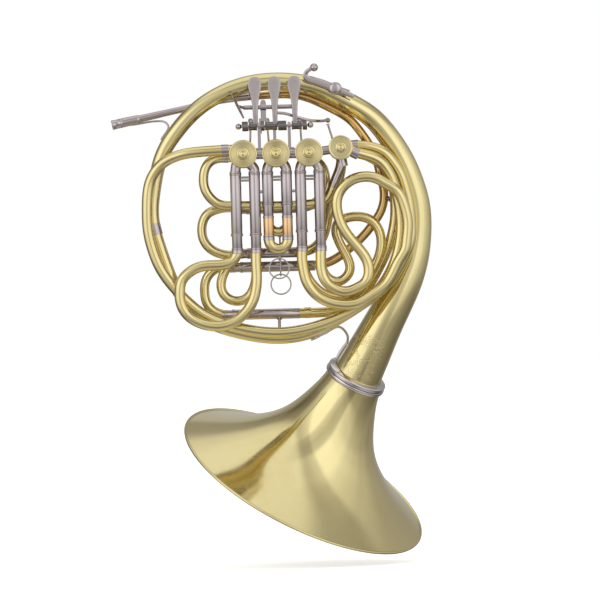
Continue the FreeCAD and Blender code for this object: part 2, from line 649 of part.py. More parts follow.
# F slides on the front deck, B flat slides on the rear deck; lower ends by valve number
DECKS = {
    "f": {"y": FRONT_Y, "sleeve_end": {1: -35.5, 2: -1.0, 3: -32.8},
          "leg_end": {1: -50.0, 2: -40.4, 3: -49.2}, "loop": {1: F1_LOOP, 3: F3_LOOP}},
    "b": {"y": REAR_Y, "sleeve_end": {1: -30.0, 2: 0.0, 3: -30.0},
          "leg_end": {1: -44.6, 2: -20.0, 3: -43.0}, "loop": {1: B1_LOOP, 3: B3_LOOP}},
}


def bow_bottom(deck):
    """Lowest z of the second slide's bow."""
    return DECKS[deck]["leg_end"][2] - HALF_GAP - size[f"{deck}_bow_r"]


# eye under each second slide: x, stem radius, stem's depth in the bow, stem length, eye z
PULL_EYES = {
    "f": (ROW_X[2], 1.2, 0.25, 2.2, bow_bottom("f") - 4.4),
    "b": (ROW_X[2] + 1.5, 1.1, 0.3, bow_bottom("b") + 78.1, -80.35),
}


def slide_sleeves(deck):
    """Fixed outer tubes of a deck; those of the F deck have a ring at the lower end."""
    spec = DECKS[deck]
    top = LEG_TOP + 1.0
    parts = []
    for v in (1, 2, 3):
        end = spec["sleeve_end"][v]
        length = f"{deck}_sleeve_len{v}"
        add_dims([(length, round(top - end, 3))])
        for side in (-1, 1):
            x = ROW_X[v] + side * HALF_GAP
            parts.append(sleeve(f"Dims.{deck}_sleeve_r", f"Dims.{deck}_sleeve_bore_r",
                                f"Dims.{length}", at(x, spec["y"], top), DOWN))
            if deck == "f":
                parts.append(sleeve("Dims.f_ring_r", "Dims.f_sleeve_r", 2.6,
                                    at(x, spec["y"], end + 2.6), DOWN))
    return group(parts)


def bow_with_eye(deck):
    """Half-round bow of the second slide with a stemmed eye below it."""
    y = DECKS[deck]["y"]
    bow_r = f"Dims.{deck}_bow_r"
    centre = at(ROW_X[2], y, DECKS[deck]["leg_end"][2])
    full = cut(torus("Dims.leg_half_gap", bow_r, centre),
               torus("Dims.leg_half_gap", f"{bow_r} - Dims.tube_wall", centre))
    bow = common(full, box(60, 40, 40, centre + DOWN * 20.0))
    x, stem_r, depth, stem_len, eye_z = PULL_EYES[deck]
    return fuse([bow, cyl(stem_r, stem_len, at(x, y, bow_bottom(deck) + depth), DOWN),
                 torus(2.3, 0.8, at(x, y, eye_z), XDIR)])


def slide(deck, v):
    """Pull-out slide: two legs, ferrules at their lower ends, and a bow or a loop."""
    spec = DECKS[deck]
    y, end = spec["y"], spec["leg_end"][v]
    leg_r, bow_r = f"Dims.{deck}_in_r", f"Dims.{deck}_bow_r"
    top = LEG_TOP - (6.0 if v == 2 else 14.0)
    parts = []
    for side in (-1, 1):
        x = ROW_X[v] + side * HALF_GAP
        parts.append(sleeve(leg_r, f"{leg_r} - Dims.tube_wall", top - end, at(x, y, top), DOWN))
        parts.append(sleeve(f"{bow_r} + 0.55", f"{bow_r} + 0.02", 6.0, at(x, y, end + 0.4),
                            DOWN))
    if v == 2:
        parts.append(bow_with_eye(deck))
    else:
        first, last = [at(ROW_X[v] + side * HALF_GAP, y, end) for side in (-1, 1)]
        parts.append(loop_tube([first] + points(spec["loop"][v]) + [last], f"{deck}_bow_r"))
    return group(parts)


def pull_ring(deck):
    """Ring hanging in a second slide's eye."""
    x, eye_z = PULL_EYES[deck][0], PULL_EYES[deck][-1]
    centre = at(x, DECKS[deck]["y"], eye_z - 0.64 - size["pull_ring_r"])
    return torus("Dims.pull_ring_r", "Dims.pull_ring_wire_r", centre)


for deck in DECKS:
    node(f"{deck}_slide_sleeves", slide_sleeves(deck))
for v in (1, 2, 3):
    for deck in DECKS:
        node(f"{deck}_slide_{v}", slide(deck, v))
node("pull_ring_front", pull_ring("f"))
node("pull_ring_rear", pull_ring("b"))

# ---------------------------------------------------------- tuning slides
# limbs: x at the -X and +X ends of the sleeve, z, upper limb first
# out, short: how far the leg stands out at -X and stops short of the sleeve's +X end
# crook: x, z between the limbs
MAIN_TUNING = {
    "y": 26.0, "limbs": [(-52.19, 35.59, -71.48), (-63.02, 16.58, -127.03)],
    "out": 7.0, "short": 12.0,
    "crook": [(-83.88, -74.46), (-91.71, -83.04), (-94.68, -98.18), (-92.48, -112.28)],
}
F_TUNING = {
    "y": 27.5, "limbs": [(-43.4, 15.14, -3.23), (-43.4, 15.14, -55.39)],
    "out": 6.0, "short": 10.0,
    "crook": [(-79.67, -3.3), (-89.17, -8.2), (-94.67, -17.42), (-96.1, -27.33),
              (-94.06, -38.5), (-86.71, -48.64), (-76.33, -54.41)],
}


def tuning_sleeves(spec):
    return [sleeve("Dims.b_sleeve_r", "Dims.b_sleeve_bore_r", x_end - x_start,
                   at(x_start, spec["y"], z), XDIR) for x_start, x_end, z in spec["limbs"]]


def tuning_slide(spec):
    """Two legs along X, their ferrules and the crook at the -X end."""
    y = spec["y"]
    parts, leg_ends = [], []
    for x_start, x_end, z in spec["limbs"]:
        x = x_start - spec["out"]
        parts.append(sleeve("Dims.b_in_r", "Dims.b_in_r - Dims.tube_wall",
                            x_end - spec["short"] - x, at(x, y, z), XDIR))
        parts.append(sleeve("Dims.b_in_r + 0.5", "Dims.b_in_r + 0.02", 6.0,
                            at(x - 5.0, y, z), XDIR))
        leg_ends.append(at(x, y, z))
    middle = [at(x, y, z) for x, z in spec["crook"]]
    parts.append(alias_pipe([leg_ends[0]] + middle + [leg_ends[1]], "crook_r", "tube_wall"))
    return group(parts)


node("main_slide", tuning_slide(MAIN_TUNING))
node("tuning_slide_sleeves", group(tuning_sleeves(MAIN_TUNING) + tuning_sleeves(F_TUNING)))
node("f_tuning_slide", tuning_slide(F_TUNING))


# --------------------------------------------------------------- ferrules
def end_ferrule(alias, clearance, end, outward):
    """Ring set back from the end of a coil tube."""
    return sleeve(f"Dims.{alias} + Dims.ferrule_wall", f"Dims.{alias} - {clearance}", 8.0,
                  end - outward * 13.5, outward)


def ferrules():
    rings = [end_ferrule(alias, 0.05, *tube_end)
             for rows, alias in ((FEED, "feed_r"), (CHANGE, "change_tube_r"),
                                 (RETURN, "return_r"))
             for tube_end in ends(points(rows))]
    rings.append(end_ferrule("first_st00", 0.1, *ends(points(FIRST_BRANCH))[0]))
    start, outward = ends(BELL_LINE)[0]
    rings.append(sleeve(8.0, 7.2, 14.0, start + outward * 5.0, outward * -1.0))
    end, outward = ends(LEAD_LINE)[1]
    rings.append(sleeve(6.3, 5.25, 8.0, end - outward * 9.0, outward))
    return group(rings)


node("ferrules", ferrules())

# ----------------------------------------------------------------- braces
BITE = 0.3    # depth of a slide brace's end in a sleeve
# centre-line points of the two tubes joined, then their radii
STRUTS = [
    ((-159.22, -1.89, -1.53), (-152.78, 11.36, -1.65), 6.2, 7.3),
    ((-54.03, -1.96, -142.55), (-54.43, 11.67, -148.33), 6.2, 6.98),
    ((-34.86, 26.6, 128.53), (-35.8, 12.94, 142.89), 4.21, 10.08),
    ((-7.65, 26.0, -127.05), (-8.04, 11.7, -155.46), 6.05, 6.93),
    ((118.64, 26.4, 5.97), (131.16, 17.14, 2.05), 5.1, 5.8),
    ((149.28, 11.39, -26.96), (158.19, 31.76, -23.81), 6.55, 15.66),
    ((136.47, -1.2, -39.23), (148.98, 11.44, -38.96), 6.2, 6.58),
]
# x, y, z
LEAD_BRACE = [
    (-176.44, 26, 98.99), (-164.7, 26, 100.32), (-152.95, 26, 102.12), (-143.57, 26, 102.58),
    (-135.42, 24, 100.85), (-132.05, 22, 95.49), (-135.16, 20, 88.55), (-140.64, 18, 80.5),
]
BELL_BRACE = [
    (20.76, 18.3, -152.42), (26.76, 24.6, -148.42), (50.58, 31.6, -143.96),
    (62.58, 35.6, -144.46), (69.83, 39.6, -151.3), (76.26, 40.05, -151.95),
    (83.04, 40.53, -152.63),
]


def slide_braces():
    """Bars between the legs of a row, between rows, and from deck to deck."""
    sleeve_r = size["f_sleeve_r"]
    reach = HALF_GAP + sleeve_r - BITE
    parts = []
    for v in (1, 2, 3):
        for z in (33.0, 29.5):
            parts.append(cyl(1.3, 2 * (HALF_GAP - sleeve_r + BITE),
                             at(ROW_X[v] - HALF_GAP + sleeve_r - BITE, FRONT_Y, z), XDIR))
    for v in (1, 2):
        start, end = ROW_X[v] + reach, ROW_X[v + 1] - reach
        parts.append(fuse([
            cyl(1.4, end - start, at(start, FRONT_Y, 16.0), XDIR),
            cyl(2.1, 1.2, at((start + end) / 2 - 0.6, FRONT_Y, 16.0), XDIR)]))
    start, end = FRONT_Y + sleeve_r - BITE, REAR_Y - size["b_sleeve_r"] + BITE
    for v in (1, 3):
        for side in (-1, 1):
            parts.append(cyl(1.5, end - start, at(ROW_X[v] + side * HALF_GAP, start, -12.0)))
    return group(parts)


def strut(start, end, start_r, end_r):
    """Short post with flanged feet between two tubes."""
    span = at(*end) - at(*start)
    along = unit(span)
    foot = at(*start) + along * (start_r - 0.25)
    length = span.Length - start_r - end_r + 0.5
    return fuse([cyl(1.7, length, foot, along), cyl(3.2, 1.0, foot, along),
                 cyl(3.2, 1.0, foot + along * (length - 1.0), along)])


def bell_brace():
    """Arched wire with a round foot at either end."""
    pts = points(BELL_BRACE)
    first, last = unit(pts[1] - pts[0]), unit(pts[-1] - pts[-2])
    return fuse([bar(pts, 2.0), cyl(4.2, 1.6, pts[0] - first * 0.3, first),
                 cyl(5.2, 1.8, pts[-1] - last * 1.5, last)])


node("slide_braces", slide_braces())
node("coil_braces", group([strut(*row) for row in STRUTS] + [bar(points(LEAD_BRACE), 1.15)]))
node("bell_brace", bell_brace())

# ---------------------------------------------------------- finger levers
HINGE_Y, HINGE_Z = size["hinge_y"], size["hinge_z"]
ARM_LEN = 50.0
ARM_REST = math.radians(9.0)
LINK_Y = HINGE_Y + ARM_LEN * math.cos(ARM_REST)
ARM_END_Z = HINGE_Z + ARM_LEN * math.sin(ARM_REST)
# valve number: x of the finger plate, x range of the hub, x of the rear arm
LEVERS = {1: (-29.8, -37.6, -28.0, -35.6), 2: (-7.6, -18.6, -4.2, -16.2),
          3: (14.6, 12.6, 24.4, 22.4)}
# valve number: rear end of the lever's arm
ARM_ENDS = {v: at(LEVERS[v][3], LINK_Y, ARM_END_Z) for v in LEVERS}
ARM_ENDS[4] = at(55.1, LINK_Y, 98.8)
ROD_START, ROD_END = -49.5, 34.5
SPRINGS = [(-45.6, -38.0, 6), (-3.8, 6.4, 8), (24.8, 30.6, 5)]    # x range, coils
POSTS = [(-25.6, -25.8, 8.0), (9.6, 11.7, 6.0)]    # x of the post, x and length of its foot


def finger_outline():
    """Oval that narrows towards its lower end."""
    outline = []
    for k in range(24):
        angle = 2 * math.pi * k / 24
        x = size["spatula_w"] / 2.0 * math.cos(angle)
        if math.sin(angle) < 0:
            x *= 1.0 - 0.35 * math.sin(angle) ** 2
        outline.append((x, size["spatula_len"] / 2.0 * math.sin(angle)))
    return outline


def lever(v):
    """Finger plate, stem and rear arm on one hub."""
    plate_x, hub_start, hub_end, arm_x = LEVERS[v]
    finger = plate(finger_outline(), "Dims.spatula_thick",
                   at(plate_x, HINGE_Y - 3.2, HINGE_Z + 50.0), Rotation(XDIR, 90))
    stem = bar([at(plate_x, HINGE_Y + dy, HINGE_Z + dz) for dy, dz in
                ((-4.1, 43.5), (-4.6, 33.0), (-4.4, 20.0), (-3.6, 9.0), (-2.3, 1.2))], 2.1)
    hub_base, hub_len = at(hub_start, HINGE_Y, HINGE_Z), hub_end - hub_start
    hub = cyl("Dims.hub_r", hub_len, hub_base, XDIR)
    arm = bar([at(arm_x, HINGE_Y + dy, HINGE_Z + dz) for dy, dz in
               ((2.0, 0.3), (17.0, 3.6), (34.0, 6.2))] + [ARM_ENDS[v]], 1.6)
    solid = fuse([finger, stem, hub, arm, ball(3.0, ARM_ENDS[v])])
    return cut(solid, cyl("Dims.hub_bore_r", hub_len, hub_base, XDIR))


def spring(start, end, coils):
    """Return spring as a ribbed sleeve, its coils lying against each other."""
    outer_r, inner_r = 3.2, 1.9
    pitch = (end - start) / coils
    corners = [(inner_r, 0.0)]
    for k in range(coils):
        z = k * pitch
        corners += [(outer_r - 0.55, z + 0.02), (outer_r, z + pitch * 0.3),
                    (outer_r, z + pitch * 0.7), (outer_r - 0.55, z + pitch - 0.02)]
    corners.append((inner_r, end - start))
    return turned(corners, at(start, HINGE_Y, HINGE_Z), XDIR)


def lever_post(x, foot_x, foot_len):
    """Upright that carries the hinge rod."""
    foot_z = VALVE_Z + 6.0
    solid = fuse([
        box(3.6, 5.0, HINGE_Z - foot_z, at(x, HINGE_Y, (HINGE_Z + foot_z) / 2.0)),
        cyl(4.0, 3.6, at(x - 1.8, HINGE_Y, HINGE_Z), XDIR),
        box(foot_len, 7.0, 1.6, at(foot_x, HINGE_Y - 1.0, foot_z + 0.2))])
    return cut(solid, cyl("Dims.hinge_rod_r", 8.0, at(x - 4, HINGE_Y, HINGE_Z), XDIR))


for v in LEVERS:
    node(f"lever_{v}", lever(v))
node("lever_rod", fuse([
    cyl("Dims.hinge_rod_r", ROD_END - ROD_START, at(ROD_START, HINGE_Y, HINGE_Z), XDIR),
    ball("Dims.hinge_ball_r", at(ROD_START, HINGE_Y, HINGE_Z)),
    ball("Dims.hinge_ball_r", at(ROD_END, HINGE_Y, HINGE_Z))]))
node("lever_springs", group([spring(*row) for row in SPRINGS]))
node("lever_posts", group([lever_post(*row) for row in POSTS]))

# ------------------------------------------------------------ thumb lever
THUMB_Y, THUMB_Z = size["thumb_y"], size["thumb_z"]
PAD_AXIS = unit(Vector(13.85, 0, -29.62))    # long axis of the paddle


def thumb_lever():
    """Shaft with an oval paddle in front and a long arm to the change valve's link."""
    pad = plate([(16.0 * math.cos(2 * math.pi * k / 20), 9.0 * math.sin(2 * math.pi * k / 20))
                 for k in range(20)], 1.8, at(-49.9, HINGE_Y - 9.5, 116.6),
                Rotation(XDIR, PAD_AXIS))
    arm = bar([
        at(0.0, THUMB_Y, THUMB_Z - 1.6), at(3.0, THUMB_Y, THUMB_Z - 3.6),
        at(8.5, THUMB_Y + 0.2, THUMB_Z - 5.4), at(20.0, THUMB_Y + 1.0, 107.8),
        at(36.0, THUMB_Y + 4.0, 103.6), at(49.0, THUMB_Y + 12.0, 100.6),
        at(54.6, THUMB_Y + 24.0, 99.2), ARM_ENDS[4]], 1.6)
    pad_arm = bar([
        at(-42.5, THUMB_Y, THUMB_Z), at(-44.4, THUMB_Y - 4.0, THUMB_Z + 0.2),
        at(-46.6, THUMB_Y - 9.0, THUMB_Z + 0.7), at(-49.4, HINGE_Y - 8.5, THUMB_Z + 1.0)], 1.7)
    shaft = cyl("Dims.thumb_shaft_r", 62.0, at(-43.5, THUMB_Y, THUMB_Z), XDIR)
    return fuse([shaft, arm, pad_arm, pad, ball(3.0, ARM_ENDS[4])])


def bearing(start, width, low, high, feet):
    """Upright plate with a bearing eye for the thumb shaft."""
    x = start + width / 2.0
    solid = fuse([
        box(width, 3.0, high - low, at(x, THUMB_Y + 0.3, (high + low) / 2.0)),
        cyl(width / 2.0, 3.0, at(x, THUMB_Y - 1.2, high)),
        cyl(3.9, width + 0.6, at(start - 0.3, THUMB_Y, THUMB_Z), XDIR)] + feet)
    return cut(solid, cyl("Dims.thumb_shaft_r + 0.05", 20.0,
                          at(x - 10.0, THUMB_Y, THUMB_Z), XDIR))


def thumb_bracket():
    """Bearing on a cranked leg to a lever post, and one on the second casing."""
    leg_rear, leg_front = THUMB_Y + 1.8, HINGE_Y + 2.3
    casing_top = VALVE_Z + size["casing_r"]
    return group([
        bearing(-23.4, 6.4, 98.5, 120.5, [
            box(3.2, 3.0, 17.6, at(-23.9, THUMB_Y + 0.3, 93.1)),
            box(3.2, leg_rear - leg_front, 3.0, at(-23.9, (leg_rear + leg_front) / 2.0, 85.8))]),
        bearing(-9.4, 3.6, casing_top - size["casing_let_in"], 119.6, [
            box(8.0, 5.0, 1.5, at(-7.6, THUMB_Y + 0.3, casing_top + 0.3))])])


node("thumb_lever", thumb_lever())
node("thumb_bracket", thumb_bracket())

# ---------------------------------------- stop arms, links, stop plates
PLATE_REAR = CASING_REAR + size["plate_thick"]
# side of the valve's axis on which its stop arm stands, +1 for +X
ARM_SIDE = {1: 1.0, 2: -1.0, 3: -1.0, 4: -1.0}


def arm_direction(v):
    """Stop arm at rest, 45 degrees above horizontal."""
    angle = math.radians(45.0)
    return Vector(ARM_SIDE[v] * math.cos(angle), 0, math.sin(angle))


def stop_arm(v):
    """Hub on the spindle, web, and an eye with the headed link pin."""
    out = arm_direction(v)
    reach = out * size["stop_arm_r"]
    solid = fuse([
        cyl(4.6, 3.4, valve_at(v, PLATE_REAR + 1.4)),
        box(size["stop_arm_r"], 3.4, 4.2, valve_at(v, PLATE_REAR + 3.1) + reach * 0.5, out),
        cyl(2.8, 3.4, valve_at(v, PLATE_REAR + 1.4) + reach),
        cyl("Dims.link_pin_r", 3.6, valve_at(v, PLATE_REAR + 4.7) + reach),
        cyl(2.0, 0.9, valve_at(v, PLATE_REAR + 8.2) + reach)])
    return cut(solid, cyl("Dims.spindle_r", 12, valve_at(v, PLATE_REAR)))


def link(v):
    """Rod from the stop arm's pin up to the ball of the lever's arm."""
    low = valve_at(v, PLATE_REAR + 6.5) + arm_direction(v) * size["stop_arm_r"]
    top = ARM_ENDS[v] + DOWN * 4.6
    along = unit(top - low)
    return fuse([
        sleeve(2.7, 1.16, 2.4, low - YDIR * 1.2),
        cyl(1.2, (top - low).Length - 1.9, low + along * 1.9, along),
        cyl(2.0, 1.0, top - along * 0.7, along)])


def stop_plate(v):
    """Thin ring cut away on the stop arm's side."""
    opening = box(30, 3, 30, valve_at(v, PLATE_REAR + 0.4, ARM_SIDE[v] * 18.0))
    return cut(cyl(12.6, 0.8, valve_at(v, PLATE_REAR)),
               fuse([cyl(6.4, 0.8, valve_at(v, PLATE_REAR)), opening]))


def stop_cork(v, sign):
    """Upper (+1) or lower (-1) cork of a valve."""
    angle = math.radians(84.0) * sign
    return cyl(2.0, 3.6, valve_at(v, PLATE_REAR + 0.8, ARM_SIDE[v] * (9.4 * math.cos(angle) - 2.2),
                                  9.4 * math.sin(angle)))


for v in VALVES:
    node(f"stop_arm_{v}", stop_arm(v))
for v in VALVES:
    node(f"link_{v}", link(v))
node("stop_plates", group([stop_plate(v) for v in VALVES]))
node("stop_corks", group([stop_cork(v, sign) for v in VALVES for sign in (1, -1)]))

# ------------------------------------------------------------ finger hook
HOOK_Y = -1.5
HOOK_UPPER, HOOK_LOWER = at(30.79, HOOK_Y, 147.83), at(75.98, HOOK_Y, 130.27)
HOOK_AXIS = unit(HOOK_LOWER - HOOK_UPPER)
HOOK_CENTRE = (HOOK_UPPER + HOOK_LOWER) * 0.5
SLOT_CENTRE = HOOK_CENTRE + HOOK_AXIS * 12.0


def finger_hook():
    """Slotted flat bar whose upper end curls up to a ball."""
    slot = fuse(
        [box(17.0, 5.0, 3.2, SLOT_CENTRE, HOOK_AXIS)]
        + [cyl(1.6, 5.0, SLOT_CENTRE + HOOK_AXIS * d - YDIR * 2.5) for d in (-8.5, 8.5)])
    root = HOOK_CENTRE - HOOK_AXIS * 22.0
    curl = bar([root, root - HOOK_AXIS * 3.0 + Vector(0, 0, 3.5), root + Vector(-1.0, -1.0, 9.0),
                at(40.5, HOOK_Y - 2.0, 156.6)], 2.4)
    return cut(fuse([box(46.0, 3.0, 7.0, HOOK_CENTRE, HOOK_AXIS),
                     cyl(3.5, 3.0, root - YDIR * 1.5), curl,
                     ball(4.1, at(40.47, HOOK_Y - 2.0, 159.87))]), slot)


def hook_screw():
    """Shank through the slot with a stepped head in front."""
    return fuse([cyl(1.45, 6.0, SLOT_CENTRE - YDIR * 2.0),
                 cyl(4.6, 2.2, SLOT_CENTRE - YDIR * 3.8),
                 cyl(5.3, 2.6, SLOT_CENTRE - YDIR * 6.4)])


def hook_track():
    """Plate behind the hook on two round legs, drilled for the screw."""
    track = box(30.0, 2.0, 8.0, HOOK_CENTRE + HOOK_AXIS * 14.0 + YDIR * 2.6, HOOK_AXIS)
    legs = [cyl(2.2, 9.0, HOOK_CENTRE + HOOK_AXIS * d + YDIR * 3.2) for d in (4.0, 26.0)]
    return cut(fuse([track] + legs), cyl(1.5, 6.0, SLOT_CENTRE - YDIR * 1.0))


node("finger_hook", finger_hook())
node("hook_screw", hook_screw())
node("hook_track", hook_track())

# ------------------------------------------------------- check and export
doc.recompute()
bad = [obj.Label for obj in doc.Objects if "Invalid" in obj.State or "Error" in obj.State]
for label, obj in NODES.items():
    if obj.Shape.isNull() or not obj.Shape.isValid() or not obj.Shape.Solids:
        bad.append(label)
if bad:
    raise SystemExit(f"faulty objects: {bad}")

os.makedirs("parts", exist_ok=True)
for label, obj in NODES.items():
    obj.Shape.exportStep(f"parts/{label}.step")
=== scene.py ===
"""Double horn with rotary valves, finger levers and slides.

The origin is the mouth of the mouthpiece receiver. +X runs across the horn from
the receiver, +Z is up and -Y faces the camera, so "front" means lower y. The bell
opens downwards and to the rear. Sizes are in mm and places are in mm from the
valve datum; point() turns places into metres.
"""
import bpy, bmesh, json, math
import numpy as np
from mathutils import Vector, Matrix

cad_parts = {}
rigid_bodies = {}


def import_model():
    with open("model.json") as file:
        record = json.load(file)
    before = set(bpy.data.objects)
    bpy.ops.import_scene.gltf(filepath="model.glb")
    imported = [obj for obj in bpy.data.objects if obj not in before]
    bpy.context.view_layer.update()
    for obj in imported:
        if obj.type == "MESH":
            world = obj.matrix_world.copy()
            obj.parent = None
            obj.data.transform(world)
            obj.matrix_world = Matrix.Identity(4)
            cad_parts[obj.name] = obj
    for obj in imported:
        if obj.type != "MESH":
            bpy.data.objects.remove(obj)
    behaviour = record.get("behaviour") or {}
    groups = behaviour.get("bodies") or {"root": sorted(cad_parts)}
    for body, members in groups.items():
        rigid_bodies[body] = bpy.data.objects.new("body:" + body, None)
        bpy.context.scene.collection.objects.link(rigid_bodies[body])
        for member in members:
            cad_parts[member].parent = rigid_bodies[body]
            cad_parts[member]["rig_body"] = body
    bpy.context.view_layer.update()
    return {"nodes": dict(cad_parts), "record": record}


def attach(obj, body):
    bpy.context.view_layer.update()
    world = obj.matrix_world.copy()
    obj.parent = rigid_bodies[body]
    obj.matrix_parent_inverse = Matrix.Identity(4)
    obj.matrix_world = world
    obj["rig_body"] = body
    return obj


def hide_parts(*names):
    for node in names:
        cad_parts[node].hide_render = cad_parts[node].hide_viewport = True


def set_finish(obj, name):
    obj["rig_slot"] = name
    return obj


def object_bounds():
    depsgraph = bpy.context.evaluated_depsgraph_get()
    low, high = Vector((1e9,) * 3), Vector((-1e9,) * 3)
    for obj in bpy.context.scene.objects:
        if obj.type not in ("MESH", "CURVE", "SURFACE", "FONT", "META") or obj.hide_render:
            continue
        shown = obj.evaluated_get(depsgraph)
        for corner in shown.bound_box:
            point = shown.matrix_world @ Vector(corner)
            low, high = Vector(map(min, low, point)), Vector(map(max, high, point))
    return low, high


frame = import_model()
cad_nodes = frame["nodes"]
scene = bpy.context.scene

MM = 0.001
DATUM = np.array((198.36, -26.0, -99.18))      # valve datum from the receiver's mouth
X_AXIS, Y_AXIS, Z_AXIS = np.eye(3)
PART = "s"                                     # working name of a piece that gets joined


def point(x, y, z):
    """Place in metres; arrays of coordinates give rows of places."""
    return (np.stack(np.broadcast_arrays(x, y, z), axis=-1) + DATUM) * MM


def unit(vector):
    return vector / np.linalg.norm(vector)


def turn(count):
    """Angles spaced evenly round a full circle."""
    return np.linspace(0, 2 * math.pi, count, endpoint=False)


# ------------------------------------------------------------------ shader nodes
class Shader:
    """Node tree of a material or world, with short ways to add its nodes."""

    def __init__(self, owner):
        self.owner = owner
        owner.use_nodes = True
        self.tree = owner.node_tree
        self.tree.nodes.clear()

    def feed(self, node, inputs):
        """Set inputs to values, or link them where a socket is given."""
        for key, value in inputs.items():
            if isinstance(value, bpy.types.NodeSocket):
                self.tree.links.new(value, node.inputs[key])
            else:
                node.inputs[key].default_value = value

    def add(self, kind, inputs={}, **settings):
        node = self.tree.nodes.new("ShaderNode" + kind)
        for key, value in settings.items():
            setattr(node, key, value)
        self.feed(node, inputs)
        return node

    def object_coords(self):
        return self.add("TexCoord").outputs["Object"]

    def noise(self, vector, scale, detail=3.0, rough=0.55, distortion=0.0):
        return self.add("TexNoise", {
            "Scale": scale, "Detail": detail, "Roughness": rough,
            "Distortion": distortion, "Vector": vector}).outputs["Fac"]

    def ramp(self, value, low, high, to_low=0.0, to_high=1.0):
        """Map low..high to to_low..to_high, clamped."""
        return self.add("MapRange", {
            "From Min": low, "From Max": high, "To Min": to_low, "To Max": to_high,
            "Value": value}).outputs["Result"]

    def mix(self, factor, first, second, **settings):
        """Mix two colours, each an RGB tuple or a socket."""
        first, second = [(*c, 1.0) if isinstance(c, tuple) else c for c in (first, second)]
        node = self.add("Mix", data_type="RGBA", **settings)
        self.feed(node, {"Factor": factor, 6: first, 7: second})
        return node.outputs[2]

    def calc(self, operation, *values):
        node = self.add("Math", dict(enumerate(values)), operation=operation)
        return node.outputs[0]

    def bump(self, height, strength, distance, inputs={}, **settings):
        return self.add("Bump", {"Strength": strength, "Distance": distance,
                                 "Height": height, **inputs}, **settings).outputs[0]

    def feeding(self, name):
        """Socket now linked to the named input of the surface shader."""
        return self.surface.inputs[name].links[0].from_socket


def new_material(name):
    shader = Shader(bpy.data.materials.new(name))
    output = shader.add("OutputMaterial")
    shader.surface = shader.add("BsdfPrincipled")
    shader.feed(output, {0: shader.surface.outputs[0]})
    return shader


# ------------------------------------------------------------------ materials
def metal(name, base, dark, rough, wear=0.35, coat=0.0, bump=0.012):
    """Polished metal: cloudy tarnish, dark spots, smears in the gloss, hairline
    scratches in two directions and a faint waviness."""
    shader = new_material(name)
    noise, ramp, calc = shader.noise, shader.ramp, shader.calc
    coords = shader.object_coords()
    cloud = noise(coords, scale=22.0, detail=4.0, rough=0.6, distortion=0.3)
    smear = noise(coords, scale=70.0, detail=5.0, rough=0.65, distortion=1.2)
    fine = noise(coords, scale=900.0, detail=3.0, rough=0.6)
    colour = shader.mix(ramp(cloud, 0.42, 0.78, to_high=wear), base, dark)
    spots = noise(coords, scale=310.0, detail=2.0, rough=0.5)
    colour = shader.mix(ramp(spots, 0.68, 0.80, to_high=wear * 0.7), colour, dark)
    gloss = ramp(smear, 0.35, 0.8, to_low=rough * 0.75, to_high=rough * 1.7)
    grain = ramp(fine, 0.55, 0.8, to_high=rough * 0.35)
    shader.feed(shader.surface, {
        "Base Color": colour, "Metallic": 1.0, "Roughness": calc("ADD", gloss, grain)})
    if coat:
        shader.feed(shader.surface, {
            "Coat Weight": coat, "Coat Roughness": 0.04, "Coat IOR": 1.45})

    scratches = []
    # rotation and stretch of the noise, its scale, and the level where scratches start
    for rotation, stretch, scale, start in (
            ((0.3, 0.8, 0.5), (1.0, 14.0, 1.0), 260.0, 0.66),
            ((1.1, -0.4, 1.3), (16.0, 1.0, 1.0), 210.0, 0.67)):
        mapping = shader.add("Mapping", {
            "Rotation": rotation, "Scale": stretch, "Vector": coords})
        lines = noise(mapping.outputs[0], scale=scale, detail=2.0, rough=0.5)
        scratches.append(ramp(lines, start, 0.72))
    height = calc("ADD", *[calc("MULTIPLY", lines, -0.5) for lines in scratches])
    height = calc("ADD", height, calc("MULTIPLY", cloud, 0.8))
    shader.feed(shader.surface, {
        "Normal": shader.bump(height, strength=bump, distance=0.002)})
    return shader


def engraved_lacquer(centre, radius):
    """Lacquered brass with thin curling strokes engraved round one spot."""
    shader = metal("engraved_lacquered_brass", **LACQUER_LOOK)
    ramp, calc = shader.ramp, shader.calc
    coords = shader.object_coords()
    offset = shader.add("VectorMath", {0: coords, 1: centre}, operation="SUBTRACT").outputs[0]
    distance = shader.add("VectorMath", {0: offset}, operation="LENGTH").outputs["Value"]
    inside = ramp(distance, radius * 0.8, radius, to_low=1.0, to_high=0.0)
    wave = shader.add("TexWave", {
        "Scale": 120.0, "Distortion": 14.0, "Detail": 1.5, "Detail Scale": 1.6,
        "Vector": offset}, wave_type="RINGS", rings_direction="SPHERICAL")
    strokes = calc("MULTIPLY", ramp(wave.outputs["Fac"], 0.80, 0.93), inside)
    breaks = ramp(shader.noise(coords, scale=95.0, detail=2.0), 0.42, 0.55)
    leaf = calc("MULTIPLY", strokes, breaks)
    colour = shader.mix(calc("MULTIPLY", leaf, 0.38), shader.feeding("Base Color"),
                        (0.50, 0.33, 0.13))
    normal = shader.bump(leaf, strength=0.35, distance=0.0004,
                         inputs={"Normal": shader.feeding("Normal")}, invert=True)
    shader.feed(shader.surface, {"Base Color": colour, "Normal": normal})
    return shader.owner


def cork():
    shader = new_material("synthetic_cork")
    cells = shader.add("TexVoronoi", {
        "Scale": 1400.0, "Vector": shader.object_coords()}).outputs["Distance"]
    colour = shader.mix(shader.ramp(cells, 0.0, 0.6),
                        (0.055, 0.045, 0.038), (0.022, 0.02, 0.018))
    shader.feed(shader.surface, {
        "Base Color": colour, "Roughness": 0.85,
        "Normal": shader.bump(cells, strength=0.4, distance=0.0004)})
    return shader.owner


